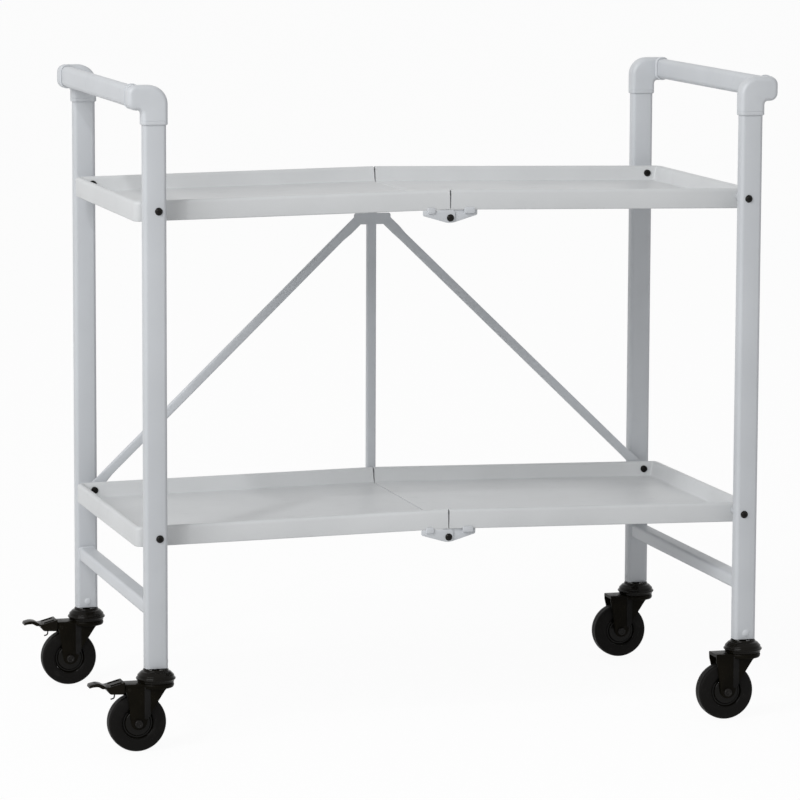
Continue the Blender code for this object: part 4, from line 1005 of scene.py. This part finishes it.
# Foot brakes. A moulded lever on a pin across the fork's channel, with a raised middle between two
# open pockets, an upturned toe and a spring wire that bears on the tyre. Only the left casters have one.
BRAKE_PIN_BACK = 0.0365
BRAKE_PIN_UP = 0.0805
BRAKE_LONG = 0.0498
BRAKE_HIGH = 0.010
BRAKE_HALF = 0.01425
TOE_HALF = 0.00875
NECK_HALF = 0.0118
BRAKE_EYE = 0.0038
MIDDLE_HALF = 0.0050
POCKET_WALL = 0.0018
POCKET_DEEP = 0.0062
POCKET_ROUND = 0.0010
POCKET_LONG_SHARE = 0.29
POCKET_BACK_SHARE = 0.325
NECK_SHARE = 0.3
ROD = 0.0018
ROD_RIM = 0.0024
ROD_LIP = 0.0002
ROD_DOME = 0.0006
SPRING_WIRE = 0.0009
BODY_SHARES = [(0.11, 1.0), (0.54, 0.42), (0.62, 0.44), (0.495, -0.47), (0.14, -0.55)]
BODY_CORNERS = (0.001, 0.001, 0.001, 0.002, 0.001)
TOE_SHARES = [(0.48, 0.38), (0.59, 0.46), (0.68, 0.76), (0.81, 0.88), (0.98, 0.68), (1.0, 0.31),
              (0.92, 0.43), (0.77, 0.46), (0.67, 0.16), (0.48, 0.12)]
TOE_CORNERS = (0, 0.002, 0.002, 0.003, 0.001, 0.0006, 0.002, 0.002, 0.001, 0)
SPRING_SHARES = [(0.32, -0.45), (0.32, -0.58), (0.33, -0.86), (0.335, -1.08), (0.345, -1.18),
                 (0.36, -1.24), (0.39, -1.29), (0.43, -1.33)]

brake_nylon = moulded("brake_nylon", (0.0078, 0.0064, 0.0040), 0.22, 0.05, 0.00001)

for side in SIDES:
    middle = centre_of(f"caster_cap_{side}_left")
    pin = Vector((middle.x - BRAKE_PIN_BACK, middle.y, BRAKE_PIN_UP))
    pressed = []
    for shares, corners, half, edge_round in ((BODY_SHARES, BODY_CORNERS, BRAKE_HALF, 0.0009),
                                              (TOE_SHARES, TOE_CORNERS, TOE_HALF, 0.0007)):
        shape = plate([(-BRAKE_LONG * x, BRAKE_HIGH * z) for x, z in shares], corners, -half, half)
        pressed.append(rounded(shape, rims_of(shape, 1), edge_round, 3))
    bm = carved(*pressed, "UNION")
    neck = plate([(BRAKE_EYE, BRAKE_EYE), (BRAKE_EYE, -BRAKE_EYE), (-NECK_SHARE * BRAKE_LONG, -BRAKE_EYE),
                  (-NECK_SHARE * BRAKE_LONG, BRAKE_EYE)], (BRAKE_EYE * 0.98, BRAKE_EYE * 0.98, 0, 0),
                 -NECK_HALF, NECK_HALF)
    bm = carved(bm, neck, "UNION")
    width = BRAKE_HALF - POCKET_WALL - MIDDLE_HALF
    for sign in (-1, 1):
        pocket = block((POCKET_LONG_SHARE * BRAKE_LONG, width, 2 * POCKET_DEEP),
                       (-POCKET_BACK_SHARE * BRAKE_LONG, sign * (MIDDLE_HALF + width / 2), BRAKE_HIGH))
        rounded(pocket, along(pocket, 2), POCKET_ROUND, 3)
        bm = carved(bm, pocket)
    rod = both_ways([(0, FORK_HALF + ROD_DOME, 0), (ROD, FORK_HALF + ROD_DOME, 0.0005),
                     (ROD_RIM, FORK_HALF + ROD_LIP, 0), (ROD, FORK_HALF, 0)])
    bm = carved(bm, turned(rod, 1, (0, 0, 0), 24), "UNION")
    piece(bm, f"brake_pedal_{side}_left", f"{side}_left_brake", brake_nylon, "black_plastic",
          f"brake_lever_{side}_left", place=Matrix.Translation(pin))
    wire = bmesh.new()
    bmesh.ops.create_circle(wire, cap_ends=True, segments=12, radius=SPRING_WIRE)
    stations = [Vector((-BRAKE_LONG * x, 0, BRAKE_HIGH * z)) for x, z in SPRING_SHARES]
    tip = wire.faces[:][0]
    bmesh.ops.translate(wire, verts=wire.verts, vec=stations[0])
    heading = Vector((0, 0, -1))
    for number in range(1, len(stations)):
        step = stations[number] - stations[number - 1]
        ahead = (stations[min(number + 1, len(stations) - 1)] - stations[number - 1]).normalized()
        longer = bmesh.ops.extrude_face_region(wire, geom=[tip])
        if number > 1:
            bmesh.ops.delete(wire, geom=[tip], context="FACES_ONLY")
        tip = grown(longer, bmesh.types.BMFace)[0]
        bmesh.ops.translate(wire, verts=tip.verts, vec=step)
        bmesh.ops.rotate(wire, verts=tip.verts, cent=stations[number],
                         matrix=heading.rotation_difference(ahead).to_matrix())
        heading = ahead
    piece(wire, f"brake_wire_{side}_left", f"{side}_left_brake", black_steel, "plated_steel",
          f"brake_spring_{side}_left", place=Matrix.Translation(pin))


# Studio. A pale floor, a large soft lamp from the front left, a small bright one above it for the
# glints on dark parts, and an even white room. The camera stands where the photograph's did.
CAMERA_TURN = math.radians(-15.643)
CAMERA_RISE = math.radians(7.798)
CAMERA_ROLL = math.radians(0.224)
CAMERA_DISTANCE = 5.721
FOCAL_PIXELS = 4356.6
IMAGE_PIXELS = 800.0
FILM_WIDTH = 36.0
AIM_ASIDE = -0.0131
AIM_HEIGHT = 0.4013
FLOOR_SHOWN = 0.92
FLOOR_GLOW = 1.02
ROOM_LIGHT = 0.40
LAMP_AIM_HEIGHT = 0.42

middle_x = (centre_of("leg_front_left").x + centre_of("leg_front_right").x) / 2
target = Vector((middle_x + AIM_ASIDE, 0, AIM_HEIGHT))
gaze = Vector((-math.sin(CAMERA_TURN) * math.cos(CAMERA_RISE),
               math.cos(CAMERA_TURN) * math.cos(CAMERA_RISE), -math.sin(CAMERA_RISE)))
camera = placed("camera", bpy.data.cameras.new("camera"))
camera.data.sensor_width = FILM_WIDTH
camera.data.lens = FILM_WIDTH * FOCAL_PIXELS / IMAGE_PIXELS
camera.matrix_world = (Matrix.Translation(target - gaze * CAMERA_DISTANCE)
                       @ gaze.to_track_quat("-Z", "Y").to_matrix().to_4x4()
                       @ Matrix.Rotation(CAMERA_ROLL, 4, "Z"))
bpy.context.scene.camera = camera
bpy.context.scene.view_settings.view_transform = "Standard"


def seen_directly(recipe):
    """More than 0 on what the camera sees, itself or in a reflection or through glass."""
    kinds = ("Is Camera Ray", "Is Glossy Ray", "Is Transmission Ray")
    direct, glossy, through = (recipe.node("LightPath", output=kind) for kind in kinds)
    return direct + glossy + through


surface = Recipe("studio_floor")
tone = surface.blend(surface.noise(3.0, 2.0), (0.80, 0.80, 0.80), (0.84, 0.84, 0.84))
surface.finish(Base_Color=tone, Roughness=0.8)
glow = surface.node("Emission", None, {"Color": (1.0, 1.0, 1.0), "Strength": FLOOR_GLOW})
mixed = surface.node("MixShader", None, {0: seen_directly(surface).between(0.0, 1.0) * FLOOR_SHOWN,
                                         1: Value(surface, surface.shader.outputs[0]), 2: glow})
surface.feed(surface.tree.nodes["Material Output"].inputs["Surface"], mixed)
bm = bmesh.new()
bmesh.ops.create_grid(bm, x_segments=1, y_segments=1, size=40.0)
mesh = mesh_of(bm, "studio_floor")
mesh.materials.append(surface.owner)
placed("studio_floor", mesh)

room = Recipe("studio", "worlds", "Background")
level = room.node("MapRange", None, {0: seen_directly(room), 3: ROOM_LIGHT, 4: 1.0})
bpy.context.scene.world = room.finish(Color=(1.0, 1.0, 1.0), Strength=level)


def lamp(name, turn, rise, distance, size, energy):
    """A soft rectangular lamp aimed at the cart from so many degrees left of and above its front."""
    turn, rise = math.radians(turn), math.radians(rise)
    toward = Vector((-math.sin(turn) * math.cos(rise), -math.cos(turn) * math.cos(rise), math.sin(rise)))
    made = placed(name, bpy.data.lights.new(name, "AREA"))
    made.data.shape = "RECTANGLE"
    made.data.size, made.data.size_y = size
    made.data.energy = energy
    made.matrix_world = (Matrix.Translation(Vector((middle_x, 0, LAMP_AIM_HEIGHT)) + toward * distance)
                         @ toward.to_track_quat("Z", "Y").to_matrix().to_4x4())


lamp("key_lamp", 52, 28, 9.0, (6.2, 4.2), 385.0)
lamp("glint_lamp", 46, 46, 3.6, (0.14, 0.14), 15.0)
